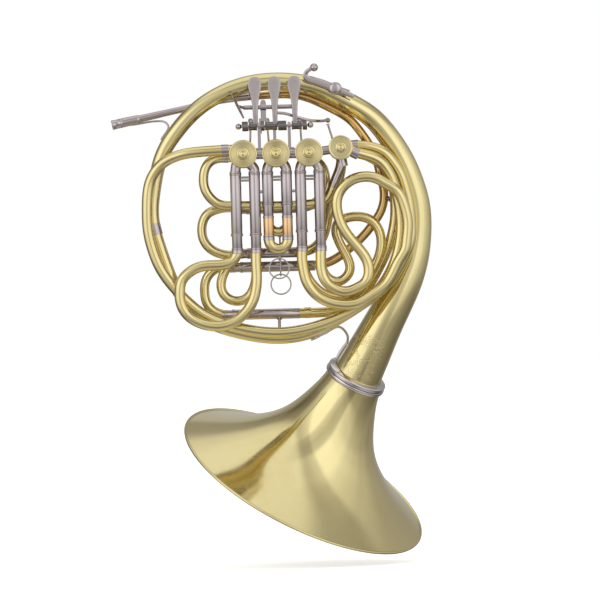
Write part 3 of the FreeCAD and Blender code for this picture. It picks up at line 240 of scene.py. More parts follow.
def ferrule_metal(centre, radius):
    """Nickel, turning to brass within the radius of one spot."""
    shader = metal("ferrule_metal", **NICKEL_LOOK)
    distance = shader.add("VectorMath", {0: shader.object_coords(), 1: centre},
                          operation="DISTANCE").outputs["Value"]
    brass = shader.ramp(distance, radius, radius + 0.0005, to_low=1.0, to_high=0.0)
    shader.feed(shader.surface, {
        "Base Color": shader.mix(brass, shader.feeding("Base Color"), LOOP_BRASS)})
    return shader.owner


LOOP_BRASS = (0.87, 0.74, 0.37)
LACQUER_LOOK = dict(base=(0.87, 0.755, 0.39), dark=(0.76, 0.60, 0.26),
                    rough=0.10, wear=0.30, coat=0.30)
NICKEL_LOOK = dict(base=(0.58, 0.52, 0.525), dark=(0.42, 0.36, 0.36),
                   rough=0.12, wear=0.35, coat=0.2)
# key: material name, base colour, tarnish colour, roughness, wear, clear coat
METALS = {
    "lacquer": ("lacquered_yellow_brass", *LACQUER_LOOK.values()),
    "lacquer_b": ("lacquered_brass_loops", LOOP_BRASS, (0.75, 0.57, 0.24), 0.11, 0.34, 0.3),
    "nickel": ("nickel_silver", *NICKEL_LOOK.values()),
    "rose": ("rose_brass", (0.84, 0.56, 0.30), (0.70, 0.42, 0.2), 0.12, 0.35, 0.3),
    "lead": ("gold_brass_leadpipe", (0.74, 0.50, 0.21), (0.58, 0.36, 0.13), 0.10, 0.35, 0.3),
    "rotor_metal": ("bearing_brass", (0.70, 0.54, 0.30), (0.48, 0.36, 0.2), 0.26, 0.5),
    "spring_steel": ("blued_spring_steel", (0.30, 0.285, 0.28), (0.14, 0.13, 0.125), 0.24, 0.5),
    # lever hinge hubs: nickel painted dark grey all round, a painted shade standing in for the
    # dark reflection under the hinge
    "painted_shade_hub": ("painted_shade_hinge_hub", (0.26, 0.24, 0.24), (0.12, 0.11, 0.11), 0.14, 0.4, 0.1),
    "ring": ("bright_nickel_ring", (0.76, 0.71, 0.70), (0.60, 0.54, 0.53), 0.09, 0.3, 0.2),
}
materials = {key: metal(*look).owner for key, look in METALS.items()}
materials["bumper"] = cork()
materials["cap"] = metal("satin_cap_brass", (0.76, 0.65, 0.35), (0.60, 0.48, 0.22),
                         rough=0.30, wear=0.35, coat=0.3, bump=0.05).owner
materials["spatula"] = metal("worn_nickel_plate", (0.56, 0.51, 0.51), (0.47, 0.42, 0.42),
                             rough=0.38, wear=0.45, bump=0.03).owner
LACQUER, LOOPS = materials["lacquer"], materials["lacquer_b"]
NICKEL, BRIGHT = materials["nickel"], materials["ring"]


def paint(obj, material):
    obj.data.materials.clear()
    obj.data.materials.append(material)


def smooth(obj, angle):
    """Shade smooth, keeping edges sharper than the angle (degrees)."""
    obj.data.shade_smooth()
    obj.data.set_sharp_from_angle(angle=math.radians(angle))


# every CAD node gets a finish, including those that are replaced below
slot_of = {part["node"]: part["material_slot"] for part in frame["record"]["subparts"]}
for node_name, cad_object in cad_nodes.items():
    paint(cad_object, materials[slot_of[node_name]])
    smooth(cad_object, 32.0)


# ------------------------------------------------------------ mesh building
def add_mesh(name, verts, faces, mat, body, slot, sharp=40.0, outward=False):
    """New object from metre vertices; mat is one material or a list."""
    mesh = bpy.data.meshes.new(name)
    mesh.from_pydata([tuple(v) for v in verts], [], faces)
    mesh.validate()
    mesh.update()
    obj = bpy.data.objects.new(name, mesh)
    scene.collection.objects.link(obj)
    for material in mat if isinstance(mat, (list, tuple)) else [mat]:
        mesh.materials.append(material)
    if outward:
        edit = bmesh.new()
        edit.from_mesh(mesh)
        bmesh.ops.recalc_face_normals(edit, faces=edit.faces)
        edit.to_mesh(mesh)
        edit.free()
    smooth(obj, sharp)
    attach(obj, body)
    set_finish(obj, slot)
    return obj


def stand_in(obj, node=None):
    """Let the object replace a CAD node, by default the one it is named after."""
    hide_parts(node or obj.name.removesuffix("_skin"))


def joined(name, parts):
    """One object from several, with the body and slot of the first."""
    body = parts[0]["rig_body"]
    slot = parts[0].get("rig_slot")
    mesh = bpy.data.meshes.new(name)
    edit = bmesh.new()
    mats = []
    for part in parts:
        remap = []
        for material in part.data.materials:
            if material not in mats:
                mats.append(material)
            remap.append(mats.index(material))
        for face in part.data.polygons:
            face.material_index = remap[face.material_index]
        edit.from_mesh(part.data)
    edit.to_mesh(mesh)
    edit.free()
    for material in mats:
        mesh.materials.append(material)
    for part in parts:
        bpy.data.objects.remove(part)
    obj = bpy.data.objects.new(name, mesh)
    scene.collection.objects.link(obj)
    smooth(obj, 38.0)
    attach(obj, body)
    if slot:
        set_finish(obj, slot)
    return obj


def bridge(rings):
    """Faces between successive rings of equal count."""
    faces = []
    count = len(rings[0])
    for near, far in zip(rings[:-1], rings[1:]):
        for i in range(count):
            j = (i + 1) % count
            faces.append((near[i], near[j], far[j], far[i]))
    return faces


def loft(sections, mat, body, slot):
    """Solid through a row of closed sections, for joining."""
    count = len(sections[0])
    rings = [range(i * count, (i + 1) * count) for i in range(len(sections))]
    faces = bridge(rings) + [tuple(reversed(rings[0])), tuple(rings[-1])]
    return add_mesh(PART, np.concatenate(sections), faces, mat, body, slot,
                    sharp=50.0, outward=True)


def spline(points, step):
    """Cubic through the points by chord length, sampled about every step mm.

    The second derivative is constant over each end span. Returns the samples,
    their unit tangents and their positions counted in points."""
    knots = np.array(points, float)
    count = len(knots)
    reach = np.r_[0, np.cumsum(np.linalg.norm(np.diff(knots, axis=0), axis=1))]
    span = np.diff(reach)
    matrix = np.zeros((count, count))
    target = np.zeros((count, 3))
    matrix[0, :2] = 1.0, -1.0
    matrix[-1, -2:] = -1.0, 1.0
    for i in range(1, count - 1):
        matrix[i, i - 1:i + 2] = span[i - 1], 2 * (span[i - 1] + span[i]), span[i]
        target[i] = 6 * ((knots[i + 1] - knots[i]) / span[i]
                         - (knots[i] - knots[i - 1]) / span[i - 1])
    bend = np.linalg.solve(matrix, target)

    samples = max(4, int(round(reach[-1] / (step * MM))) + 1)
    along = np.linspace(0, reach[-1], samples)
    i = np.clip(np.searchsorted(reach, along, side="right") - 1, 0, count - 2)
    ahead = (reach[i + 1] - along)[:, None]
    behind = (along - reach[i])[:, None]
    width = span[i][:, None]
    places = (bend[i] * ahead ** 3 / (6 * width) + bend[i + 1] * behind ** 3 / (6 * width)
              + (knots[i] / width - bend[i] * width / 6) * ahead
              + (knots[i + 1] / width - bend[i + 1] * width / 6) * behind)
    slopes = (-bend[i] * ahead ** 2 / (2 * width) + bend[i + 1] * behind ** 2 / (2 * width)
              + (knots[i + 1] - knots[i]) / width - (bend[i + 1] - bend[i]) * width / 6)
    slopes /= np.linalg.norm(slopes, axis=1)[:, None]
    return places, slopes, i + (along - reach[i]) / span[i]


def moving_average(values, count):
    padded = np.pad(values, count // 2, mode="edge")
    return np.convolve(padded, np.ones(count) / count, mode="valid")


def hollow(name, centres, tangents, radii, mat, body, slot, seg, wall):
    """Open-ended tube; the bore is lined only near both ends, then closed.
    Centres and radii are in metres, the wall in mm."""
    across = np.cross(tangents[0], (0.13, 0.97, 0.2))
    across /= np.linalg.norm(across)
    circles = []
    for tangent in tangents:
        across = across - tangent * np.dot(across, tangent)
        across /= np.linalg.norm(across)
        angle = turn(seg)[:, None]
        circles.append(across * np.cos(angle) + np.cross(tangent, across) * np.sin(angle))
    count = len(centres)
    radii = np.broadcast_to(np.array(radii, float), (count,))
    lined = min(8, count - 1)
    verts = []

    def ring(i, inset=0.0):
        verts.extend(centres[i] + (radii[i] - inset) * circles[i])
        return list(range(len(verts) - seg, len(verts)))

    rings = [ring(i) for i in range(count)]
    rings += [ring(i, wall * MM) for i in range(count - 1, count - 1 - lined, -1)]
    start = [ring(i, wall * MM) for i in range(lined)]
    faces = bridge(rings) + [tuple(rings[-1])]
    for near, far in zip([rings[0]] + start[:-1], start):
        for i in range(seg):
            j = (i + 1) % seg
            faces.append((near[j], near[i], far[i], far[j]))
    faces.append(tuple(reversed(start[-1])))
    return add_mesh(name, verts, faces, mat, body, slot)


def tube(name, points, radius, mat, body="horn", slot="lacquer", step=2.0, seg=40, wall=0.45):
    """Tube along a spline; radius is one number or one per point."""
    centres, tangents, position = spline(points, step)
    if np.ndim(radius):
        radius = moving_average(np.interp(position, np.arange(len(radius)), radius), 9)
    return hollow(name, centres, tangents, radius * MM, mat, body, slot, seg, wall)


def lathe(name, profile, place, axis, mat, body="horn", slot="nickel", seg=96, sharp=35.0):
    """Turned piece; profile rows are (radius, height along the axis), and the
    profile closes on itself or on the axis."""
    axis = unit(np.array(axis, float))
    across = unit(np.cross(axis, (0.3, 0.5, 0.81)))
    angle = turn(seg)[:, None]
    circle = across * np.cos(angle) + np.cross(axis, across) * np.sin(angle)
    verts, rings = [], []
    for radius, height in profile:
        centre = place + axis * height * MM
        if radius < 1e-6:
            rings.append([len(verts)] * seg)
            verts.append(centre)
        else:
            rings.append(list(range(len(verts), len(verts) + seg)))
            verts.extend(centre + radius * MM * circle)
    faces = []
    for near, far in zip(rings, rings[1:] + rings[:1]):
        near_pole, far_pole = near[0] == near[1], far[0] == far[1]
        if near_pole and far_pole:
            continue
        for i in range(seg):
            j = (i + 1) % seg
            if near_pole:
                faces.append((near[0], far[j], far[i]))
            elif far_pole:
                faces.append((near[i], near[j], far[0]))
            else:
                faces.append((near[i], near[j], far[j], far[i]))
    return add_mesh(name, verts, faces, mat, body, slot, sharp, outward=True)


def rounded(profile, rounds=2):
    """Cut the corners of a profile, keeping its two ends."""
    rows = np.array(profile, float)
    for _ in range(rounds):
        cut = [rows[0]]
        for a, b in zip(rows[:-1], rows[1:]):
            cut += [a * 0.75 + b * 0.25, a * 0.25 + b * 0.75]
        rows = np.array(cut + [rows[-1]])
    return [tuple(row) for row in rows]


def wire_profile(ring_radius, wire_radius, count):
    return [(ring_radius + wire_radius * math.cos(a), wire_radius * math.sin(a))
            for a in turn(count)]


def leg(x, y, top, bottom, radius, wall, mat, body="horn", slot="nickel", seg=44):
    """Vertical hollow tube, open at both ends with softened edges."""
    height = top - bottom
    lip = radius - wall * 0.6
    profile = [(radius - wall, 0.0), (radius - wall, height), (lip, height),
               (radius - 0.08, height - 0.03), (radius, height - 0.2), (radius, 0.2),
               (radius - 0.08, 0.03), (lip, 0.0)]
    return lathe(PART, profile, point(x, y, bottom), Z_AXIS, mat, body, slot, seg, 50.0)


def level_leg(left, right, y, z, radius, wall, body="horn"):
    """Nickel hollow tube along X with softened outer edges."""
    length = right - left
    profile = [(radius - wall, 0.0), (radius - wall, length), (radius - 0.08, length - 0.02),
               (radius, length - 0.2), (radius, 0.2), (radius - 0.08, 0.02)]
    return lathe(PART, profile, point(left, y, z), X_AXIS, NICKEL, body, "nickel", 48, 50.0)


def band(place, axis, radius, bore, height, mat, body="horn", slot="nickel", bead=0.35):
    """Ferrule with a rolled bead at either lip."""
    half = [(bead * 0.4, 0.0), (bead, 0.35), (bead, 0.9), (bead * 0.3, 1.3), (0.0, 1.5)]
    profile = [(bore, 0.0)] + [(radius + out, up) for out, up in half]
    profile += [(radius + out, height - up) for out, up in half[::-1]] + [(bore, height)]
    return lathe(PART, profile, place, axis, mat, body, slot, 56, 60.0)


def sphere(place, radius, body, axis=Z_AXIS):
    profile = [(radius * math.sin(a), -radius * math.cos(a))
               for a in np.linspace(0, math.pi, 25)]
    return lathe(PART, profile, place, axis, NICKEL, body, "nickel", 40, 80)


def soft_square(count, power):
    """Closed outline of half-width 1; a lower power is squarer."""
    cos, sin = np.cos(turn(count)), np.sin(turn(count))
    return np.sign(cos) * np.abs(cos) ** power, np.sign(sin) * np.abs(sin) ** power


def ribbon(rows, mat, body, seg=28):
    """Flat bar bent in the upright plane: rows are x, y, z, height, thickness."""
    rows = np.array(rows, float)
    centres, tangents, position = spline([point(*row[:3]) for row in rows], step=1.2)
    half_height, half_thick = [np.interp(position, np.arange(len(rows)), rows[:, column])
                               * MM / 2 for column in (3, 4)]
    wide, deep = soft_square(seg, 0.6)
    last = len(centres) - 1
    # sample, shift along the bar in half-heights, scale: two shrunk sections round each end
    stations = [(0, -0.54, 0.55), (0, -0.33, 0.85)]
    stations += [(i, 0.0, 1.0) for i in range(last + 1)]
    stations += [(last, 0.33, 0.85), (last, 0.54, 0.55)]
    sections = []
    for i, shift, scale in stations:
        along = tangents[i]
        side = unit(Y_AXIS - along * along[1])
        rise = np.cross(along, side)
        sections.append(centres[i] + along * half_height[i] * shift
                        + rise * (half_height[i] * scale * wide[:, None])
                        + side * (half_thick[i] * scale * deep[:, None]))
    return loft(sections, mat, body, "nickel")


# ------------------------------------------------------------ tube centre lines
# x, y, z of the centre lines; ends fixed by a neighbouring piece are added later
LINES = {
    "bell_branch": [
        (-150.5, 11.15, -26.49), (-152.79, 11.36, -1.85), (-149.33, 11.56, 27.32),
        (-144.39, 11.59, 50.6), (-135.18, 11.44, 71.42), (-123.26, 11.27, 88.67),
        (-105.67, 11.08, 108.1), (-88.57, 11.38, 121.7), (-72.77, 11.67, 130.65),
        (-50.42, 12.45, 139.43), (0.29, 14.22, 145.12), (46.86, 16.99, 135.71),
        (80, 19.77, 118.46), (102.67, 22.82, 103.82), (126.53, 26.02, 76.27),
        (143.73, 28.22, 44.92), (152.23, 29.4, 20.94), (157.17, 30.55, -0.6),
        (158.24, 31.68, -22.28), (156.27, 32.78, -43.89), (150.2, 33.36, -70.18),
        (139.96, 34.42, -94.61), (122.25, 36.96, -127.26), (113.9, 39.5, -142.26),
        (99.75, 45.5, -168.81),
    ],
    "first_branch": [
        (76.65, 4, 66.7), (97.71, 4, 66.49), (109.35, 5.02, 63.85), (120.89, 6.05, 57.7),
        (129.97, 7.08, 46.92), (137.82, 8.13, 33.84), (143.24, 9.18, 17.32),
        (146.94, 10.26, 2), (149.19, 11.35, -23.8), (148.05, 11.45, -44.84),
        (141.16, 11.57, -62.22), (122.85, 11.69, -91), (92.94, 11.75, -115.96),
        (63.21, 11.75, -133.91), (27.66, 11.73, -150.54), (-7.58, 11.7, -155.46),
        (-54.21, 11.67, -148.39), (-94.75, 11.64, -132.11), (-123.23, 11.57, -102.11),
        (-139.76, 11.34, -63.05), (-149.46, 11, -31.2),
    ],
    "leadpipe": [
        (-146.94, 26, 109.54), (-129.29, 26, 113.05), (-109.3, 26, 116.98),
        (-88.1, 26.19, 121.69), (-64.59, 26.38, 125.75), (-35.26, 26.6, 128.5),
        (-5.96, 26.84, 130.07), (23.25, 27.1, 128.14), (57.97, 27.36, 113.18),
        (81, 27.39, 98.53), (94.6, 27.15, 81.79), (111.32, 26.9, 49.75),
        (114.46, 26.69, 35.63), (118.59, 26.51, 14.45), (118.28, 26.36, 2.75),
        (114.44, 26.25, -10.02), (107.11, 26.17, -21.53), (95.02, 26.11, -36.43),
        (77.05, 26.06, -52.34), (56.8, 26.03, -65.86), (35.58, 26, -71.51),
    ],
    "feed": [
        (-56.8, -11, 65.74), (-79.05, -11, 65.27), (-95.45, -10.18, 64.53),
        (-113.06, -8.36, 62.65), (-128.39, -5.55, 58.37), (-140.27, -3.74, 51.66),
        (-148.7, -2.89, 42.52), (-154.85, -1.9, 30.97), (-158.17, -1.89, 15.85),
        (-159.22, -1.89, -1.68), (-158.66, -1.92, -25.11), (-154.53, -1.99, -46.28),
        (-145.79, -2.07, -69.92), (-125.47, -2.14, -98.54), (-94.6, -2.06, -126.27),
        (-54.06, -1.96, -142.54), (-7.41, -1.88, -149.03), (27.81, -1.8, -144.69),
        (63.24, -1.74, -132.74), (98.91, -1.65, -111.44), (123.1, -1.5, -81.64),
        (133.13, -1.34, -56.15), (137.4, -1.17, -27.01), (133.64, -2.02, 8.2),
        (126.07, -3.97, 31.81), (112.49, -6.98, 49.72), (92.79, -10, 57.26),
        (77.71, -11, 62.57),
    ],
    "return": [
        (16.57, 26, -127.07), (39.98, 26, -126.87), (63.47, 26.05, -123.97),
        (81.27, 26.1, -114.49), (96.9, 26.14, -98.51), (109.12, 25.19, -78.93),
        (119.61, 23.21, -58.14), (126.57, 21.18, -38.43), (130.6, 19.14, -18.64),
        (131.15, 17.1, 2.42), (127.67, 15.06, 25.92), (119.29, 15.03, 41.35),
        (105.53, 15, 52.25), (77.7, 16, 61.99),
    ],
    "change": [
        (-57.03, 2, 56.97), (-72.25, 2, 56.9), (-82.86, 1, 53.67), (-89.51, 0, 45.65),
        (-92.16, 0, 34.01), (-90.74, 0, 21.1), (-84.01, 0, 9.81), (-73.67, 0, 2.4),
        (-59.67, -0.5, 0.63), (35.13, -0.5, 0.6), (45.72, -0.5, 2.9), (54.11, -0.5, 10.29),
        (59.06, -0.5, 20.69), (63.43, 0, 31.11), (67.57, 0, 41.54), (68.9, 0, 56.72),
    ],
    "f_tuning_crook": [
        (-79.67, 27.5, -3.3), (-89.17, 27.5, -8.2), (-94.67, 27.5, -17.42),
        (-96.1, 27.5, -27.33), (-94.06, 27.5, -38.5), (-86.71, 27.5, -48.64),
        (-76.33, 27.5, -54.41),
    ],
    "f_tuning_upper": [
        (10.45, 27.5, -3.2), (19.82, 27.5, -3.09), (30.39, 27.5, -1.38), (42.29, 27.5, 5.92),
        (49.64, 27.5, 18.6), (50.53, 27.5, 30.28), (47.92, 27, 42.05), (41.11, 26, 50.42),
    ],
    "f_tuning_lower": [
        (9.08, 27.5, -55.48), (18.46, 27.8, -55.02), (29.03, 28.5, -53.43),
        (40.94, 30, -45.55), (48.33, 30, -31.7), (52.91, 29, -13.09), (57.46, 27, 4.35),
        (63.77, 25, 21.74), (68.64, 22, 38), (70.01, 20, 54.35),
    ],
    "main_crook": [
        (-83.88, 26, -74.46), (-91.71, 26, -83.04), (-94.68, 26, -98.18),
        (-92.48, 26, -112.28),
    ],
    "f1": [
        (-56.18, -15, -58.22), (-62.56, -15, -65.07), (-73.18, -15, -68.31),
        (-87.23, -15, -68.52), (-98.98, -15, -69.97), (-110.82, -15, -75.51),
        (-120.46, -15, -85.8), (-123.13, -15, -98.6), (-122.3, -15, -111.5),
        (-116.76, -15, -123.35), (-106.46, -15, -132.39), (-92.56, -15, -138.02),
        (-77.39, -15, -139.59), (-63.26, -15, -136.45), (-50.15, -15, -127.43),
        (-40.49, -15, -115.98), (-34.83, -15, -100.91), (-32.94, -15, -86.92),
        (-33.18, -15, -69.36),
    ],
    "f3": [
        (20.83, -15, -67.26), (21.99, -15, -76.65), (24.6, -15, -88.42), (30.18, -15, -99.1),
        (40.44, -15, -109.32), (51.99, -15, -115.24), (69.46, -15, -118.62),
        (84.72, -15, -116.92), (98.97, -15.01, -109.1), (109.68, -15.01, -102.36),
        (120.48, -15.02, -92.11), (127.83, -15.03, -79.42), (133.99, -15.04, -67.88),
        (141.34, -15.06, -55.2), (143.37, -15.09, -44.72), (145.09, -15.12, -23.7),
        (142.57, -15.16, -8.41), (139.34, -15.21, 2.2), (132.04, -15.26, 14.1),
        (121.11, -15.23, 21.41), (109.58, -15.18, 28.15), (97.94, -15.13, 30.44),
        (82.65, -15.1, 27.68), (70.73, -15.07, 19.22), (63.99, -15.05, 7.69),
        (62.57, -15.03, -1.64), (64.55, -15.02, -15.73), (70.03, -15.01, -29.92),
        (79.05, -15.01, -43.03), (88.68, -15, -54.99), (95.98, -15, -66.89),
        (98.36, -15, -78.65), (94.75, -15, -91.43), (84.01, -15, -99.34),
        (69.87, -15, -103.07), (54.8, -15, -97.41), (46.83, -15, -89.01),
        (43.04, -15, -77.2), (42.53, -15, -65.49),
    ],
    "b1": [
        (-56.41, 14, -53.53), (-61.33, 14, -62.77), (-68.63, 13.99, -73.11),
        (-73.58, 13.99, -83.51), (-75, 13.98, -92.84), (-72.32, 13.98, -102.27),
        (-64.88, 13.97, -108.9), (-55.57, 13.96, -110.9), (-46.14, 13.94, -108.22),
        (-38.91, 13.93, -100.22), (-34.46, 13.91, -86.88), (-33.18, 14, -69.36),
    ],
    "b3": [
        (20.69, 14, -59.06), (22.63, 13.89, -74.33), (28.14, 13.88, -87.35),
        (37.78, 13.88, -99.3), (51.01, 13.88, -107.84), (67.33, 13.86, -110.61),
        (82.72, 13.84, -103.99), (94.73, 13.82, -92.02), (103.3, 13.79, -77.61),
        (110.72, 13.75, -62.59), (113.84, 13.77, -46.29), (111.52, 13.81, -32.18),
        (102.47, 13.85, -20.24), (87.37, 13.89, -15.51), (73.29, 13.91, -17.13),
        (63.78, 13.94, -22.74), (61.19, 13.96, -32.03), (63.84, 13.97, -42.64),
        (69.38, 13.98, -54.48), (74.92, 13.99, -66.33), (76.4, 13.99, -76.91),
        (70.28, 14, -87.28), (60.82, 14, -91.13), (51.55, 14, -87.37),
        (44.79, 14, -77.25), (42.59, 14, -63.15),
    ],
}
# outside radius at each point of the tapered tubes
RADII = {
    "bell_branch": [7.4, 7.3, 7.7, 8.2, 8.8, 9.4, 9.4, 9.4, 9.6, 9.9, 10.5, 11.1, 11.7,
                    12.2, 12.9, 14, 14.5, 15, 15.6, 16.4, 18.1, 20.5, 22.5, 23.4, 25.7, 29.2],
    "first_branch": [6.1, 6.16, 6.21, 6.26, 6.32, 6.38, 6.43, 6.49, 6.54, 6.59, 6.65, 6.71,
                     6.76, 6.82, 6.87, 6.92, 6.98, 7.04, 7.09, 7.14, 7.2],
    "leadpipe": [4.4, 4.1, 3.8, 3.8, 3.9, 4, 4.2, 4.6, 5, 5.1, 5.1, 5.1, 5.1, 5.1, 5.1,
                 5.1, 5.1, 5.1, 5.1, 5.1, 5.3, 5.3],
}


def line(name):
    return [point(*row) for row in LINES[name]]


paint(cad_nodes["ferrules"],
      ferrule_metal(centre=tuple(point(25.6, 26.0, -126.1)), radius=0.009))

# ------------------------------------------------------------------- bell
BELL_JOINT_XYZ = (80.68, 55.0, -204.01)        # where the flare joins the branch
BELL_AIM_XYZ = (14.85, 104.0, -326.7)          # a second place on the bell's axis
BELL_JOINT = point(*BELL_JOINT_XYZ)
BELL_AXIS = unit(np.subtract(BELL_AIM_XYZ, BELL_JOINT_XYZ))
FLARE_WALL = 0.7
# distance from the joint along the axis, outside radius
FLARE = [(2.2, 33.9), (15, 35.5), (31, 39.9), (50, 46.8), (69, 55.5), (86, 66.7),
         (100, 79.8), (112, 94.0), (125, 113.5), (136, 133.5), (146, 153.2)]
RIM_DISTANCE, RIM_RADIUS, RIM_WIRE = 146.4, 153.8, 1.7


def bell_flare():
    centres, tangents, _ = spline(
        [np.array((radius, along, 0.0)) * MM for along, radius in FLARE], step=1.6)
    first = centres[:, :2] / MM
    second = first + np.stack([-tangents[:, 1], tangents[:, 0]], 1) * FLARE_WALL
    stand_in(lathe("bell_flare_skin", np.vstack([first, second[::-1]]), BELL_JOINT,
                   BELL_AXIS, LACQUER, slot="lacquer", seg=256, sharp=60.0))


def bell_rings():
    """Rim wire, then the two halves of the ring where the flare joins."""
    stand_in(lathe("bell_rim_wire_skin", wire_profile(RIM_RADIUS, RIM_WIRE, 20),
                   BELL_JOINT + BELL_AXIS * RIM_DISTANCE * MM, BELL_AXIS, LACQUER,
                   slot="lacquer", seg=256, sharp=80.0))
    tail = [(28.95, -6.2)]
    tail += rounded([(31.6, -6.2), (36.2, -4.6), (36.4, -3.0), (36.2, -0.5)])
    tail += [(35.9, -0.2), (28.95, -0.1)]
    flare = [(33.6, 0.1), (36.0, 0.15)]
    flare += rounded([(36.6, 0.4), (37.1, 1.6), (36.7, 4.4), (35.6, 5.5)])
    flare += [(33.6, 5.6)]
    for name, profile in (("bell_ring_tail_skin", tail), ("bell_ring_flare_skin", flare)):
        stand_in(lathe(name, profile, BELL_JOINT, BELL_AXIS, BRIGHT, seg=160))


def bell_branch():
    centre = BELL_JOINT - BELL_AXIS * 22.0 * MM - np.array((0.0, 0.033, 0.0))
    engraved = engraved_lacquer(tuple(centre), radius=0.034)
    points = line("bell_branch") + [BELL_JOINT - BELL_AXIS * 0.3 * MM]
    stand_in(tube("bell_branch_skin", points, RADII["bell_branch"], engraved,
                  step=2.4, seg=72, wall=0.55))


bell_flare()
bell_rings()
bell_branch()

# ------------------------------------------------------------------- fixed tubing
MOUTH = np.zeros(3)                            # mouth of the receiver, at the origin
LEADPIPE_START_XYZ = (-172.65, 26.0, 104.36)
RECEIVER_AXIS = unit(point(*LEADPIPE_START_XYZ) - MOUTH)
LEADPIPE_INSET = 26.1                          # leadpipe's start, along from the mouth
CHANGE_VALVE = (69.1, 64.9)                    # x, z


def change_tube():
    """Nickel near the change valve, lacquered brass elsewhere."""
    obj = tube("change_tube_skin", line("change"), 5.6, [LOOPS, NICKEL])
    valve = Vector(point(CHANGE_VALVE[0], 0.0, CHANGE_VALVE[1]))
    for face in obj.data.polygons:
        face.material_index = 1 if (face.center - valve).length < 0.048 else 0
    stand_in(obj)


def leadpipe():
    """Nickel in its upper left stretch, gold brass beyond."""
    points = [MOUTH + RECEIVER_AXIS * LEADPIPE_INSET * MM] + line("leadpipe")
    obj = tube("leadpipe_skin", points, RADII["leadpipe"], [NICKEL, materials["lead"]],
               slot="rose", wall=0.5)
    limit = point(-36.0, 0.0, 60.0)
    for face in obj.data.polygons:
        nickel = face.center.x < limit[0] and face.center.z > limit[2]
        face.material_index = 0 if nickel else 1
    stand_in(obj)


stand_in(tube("first_branch_skin", line("first_branch"), RADII["first_branch"], LOOPS,
              seg=44, wall=0.5))
stand_in(tube("feed_tube_skin", line("feed"), 6.2, LOOPS, seg=44))
stand_in(tube("return_tube_skin", line("return"), 5.8, LOOPS))
change_tube()
stand_in(joined("f_tuning_tubes_skin", [
    tube("f_tuning_%s_skin" % end, line("f_tuning_" + end), 5.7, LOOPS)
    for end in ("upper", "lower")]))
leadpipe()

# ------------------------------------------------------------------- valve slides
VALVES = (1, 2, 3)
VALVE_Z = 60.2
LEG_TOP = VALVE_Z - 21.0
LEG_HALF_PITCH = 11.0
SLIDE_X = {1: -43.6, 2: -6.3, 3: 32.2}         # middle of each pair of legs
# by deck, f in front and b behind
DECK_Y = {"f": -15.0, "b": 14.0}
LEG_RADIUS = {"f": 6.0, "b": 5.6}
LOOP_RADIUS = {"f": 6.2, "b": 5.6}
SLEEVE_END = {"f": {1: -35.5, 2: -1.0, 3: -32.8}, "b": {1: -30.0, 2: 0.0, 3: -30.0}}
LEG_END = {"f": {1: -50.0, 2: -40.4, 3: -49.2}, "b": {1: -44.6, 2: -20.0, 3: -43.0}}
# lowest z of the short second loops, and x, z of the eyes below them
LOOP_BOTTOM = {deck: LEG_END[deck][2] - LEG_HALF_PITCH - LOOP_RADIUS[deck] for deck in "fb"}
EYE = {"f": (SLIDE_X[2], LOOP_BOTTOM["f"] - 4.4), "b": (SLIDE_X[2] + 1.5, -80.35)}
STEM_OVERLAP = {"f": 0.25, "b": 0.3}           # how far an eye's stem enters the loop
WIRE = 0.8                                     # wire radius of the eyes and pull rings


def slide_sleeves():
    front, rear = [], []
    front_y, rear_y = DECK_Y["f"], DECK_Y["b"]
    for valve in VALVES:
        front_end, rear_end = SLEEVE_END["f"][valve], SLEEVE_END["b"][valve]
        for side in (-1, 1):
            x = SLIDE_X[valve] + side * LEG_HALF_PITCH
            front.append(leg(x, front_y, LEG_TOP + 1.0, front_end, 6.5, 0.45, NICKEL, seg=56))
            front.append(band(point(x, front_y, front_end), Z_AXIS, radius=6.75, bore=6.5,
                              height=3.0, mat=NICKEL, bead=0.5))
            front.append(band(point(x, front_y, LEG_TOP - 3.5), Z_AXIS, radius=6.7, bore=6.5,
                              height=3.2, mat=NICKEL, bead=0.3))
            rear.append(leg(x, rear_y, LEG_TOP + 1.0, rear_end, 6.05, 0.4, NICKEL, seg=48))
            rear.append(band(point(x, rear_y, rear_end), Z_AXIS, radius=6.1, bore=6.05,
                             height=2.6, mat=NICKEL, bead=0.15))
    stand_in(joined("f_slide_sleeves_skin", front))
    stand_in(joined("b_slide_sleeves_skin", rear))


def slide_leg(deck, valve, x, body):
    y, end = DECK_Y[deck], LEG_END[deck][valve]
    radius, loop_radius = LEG_RADIUS[deck], LOOP_RADIUS[deck]
    top = LEG_TOP - (6.0 if valve == 2 else 14.0)
    if valve == 2 and deck == "f":
        # nickel, then a long rose-brass sleeve between two nickel ferrules
        return [
            leg(x, y, top, -13.8, radius, 0.45, NICKEL, body, "lacquer"),
            leg(x, y, -13.6, end, radius + 0.12, 0.5, materials["rose"], body, "lacquer"),
            band(point(x, y, -15.0), Z_AXIS, radius + 0.3, radius, 2.4, NICKEL, body,
                 "lacquer", bead=0.15),
            band(point(x, y, end - 0.6), Z_AXIS, loop_radius + 0.35, loop_radius, 5.6,
                 NICKEL, body, "lacquer", bead=0.2)]
    return [
        leg(x, y, top, end - 0.2, radius, 0.45, NICKEL, body, "lacquer"),
        band(point(x, y, end - 5.6), Z_AXIS, loop_radius + 0.4, loop_radius, 6.0,
             NICKEL if deck == "f" else LOOPS, body, "lacquer", bead=0.2)]


def slide_eye(deck, body):
    """Small ring on a stem below the second loop."""
    x, z = EYE[deck]
    y = DECK_Y[deck]
    foot = z + 2.6
    height = LOOP_BOTTOM[deck] + STEM_OVERLAP[deck] - foot
    ring = lathe(PART, wire_profile(2.3, WIRE, 14), point(x, y, z), X_AXIS, NICKEL, body,
                 seg=40, sharp=80)
    stem = [(0.0, 0.0), (1.1, 0.0), (1.1, height - 1.6), (1.5, height - 1.0),
            (2.4, height - 0.2), (2.6, height + 0.1), (0.0, height + 0.1)]
    joined("%s_slide_2_eye" % deck,
           [ring, lathe(PART, stem, point(x, y, foot), Z_AXIS, NICKEL, body, seg=24)])


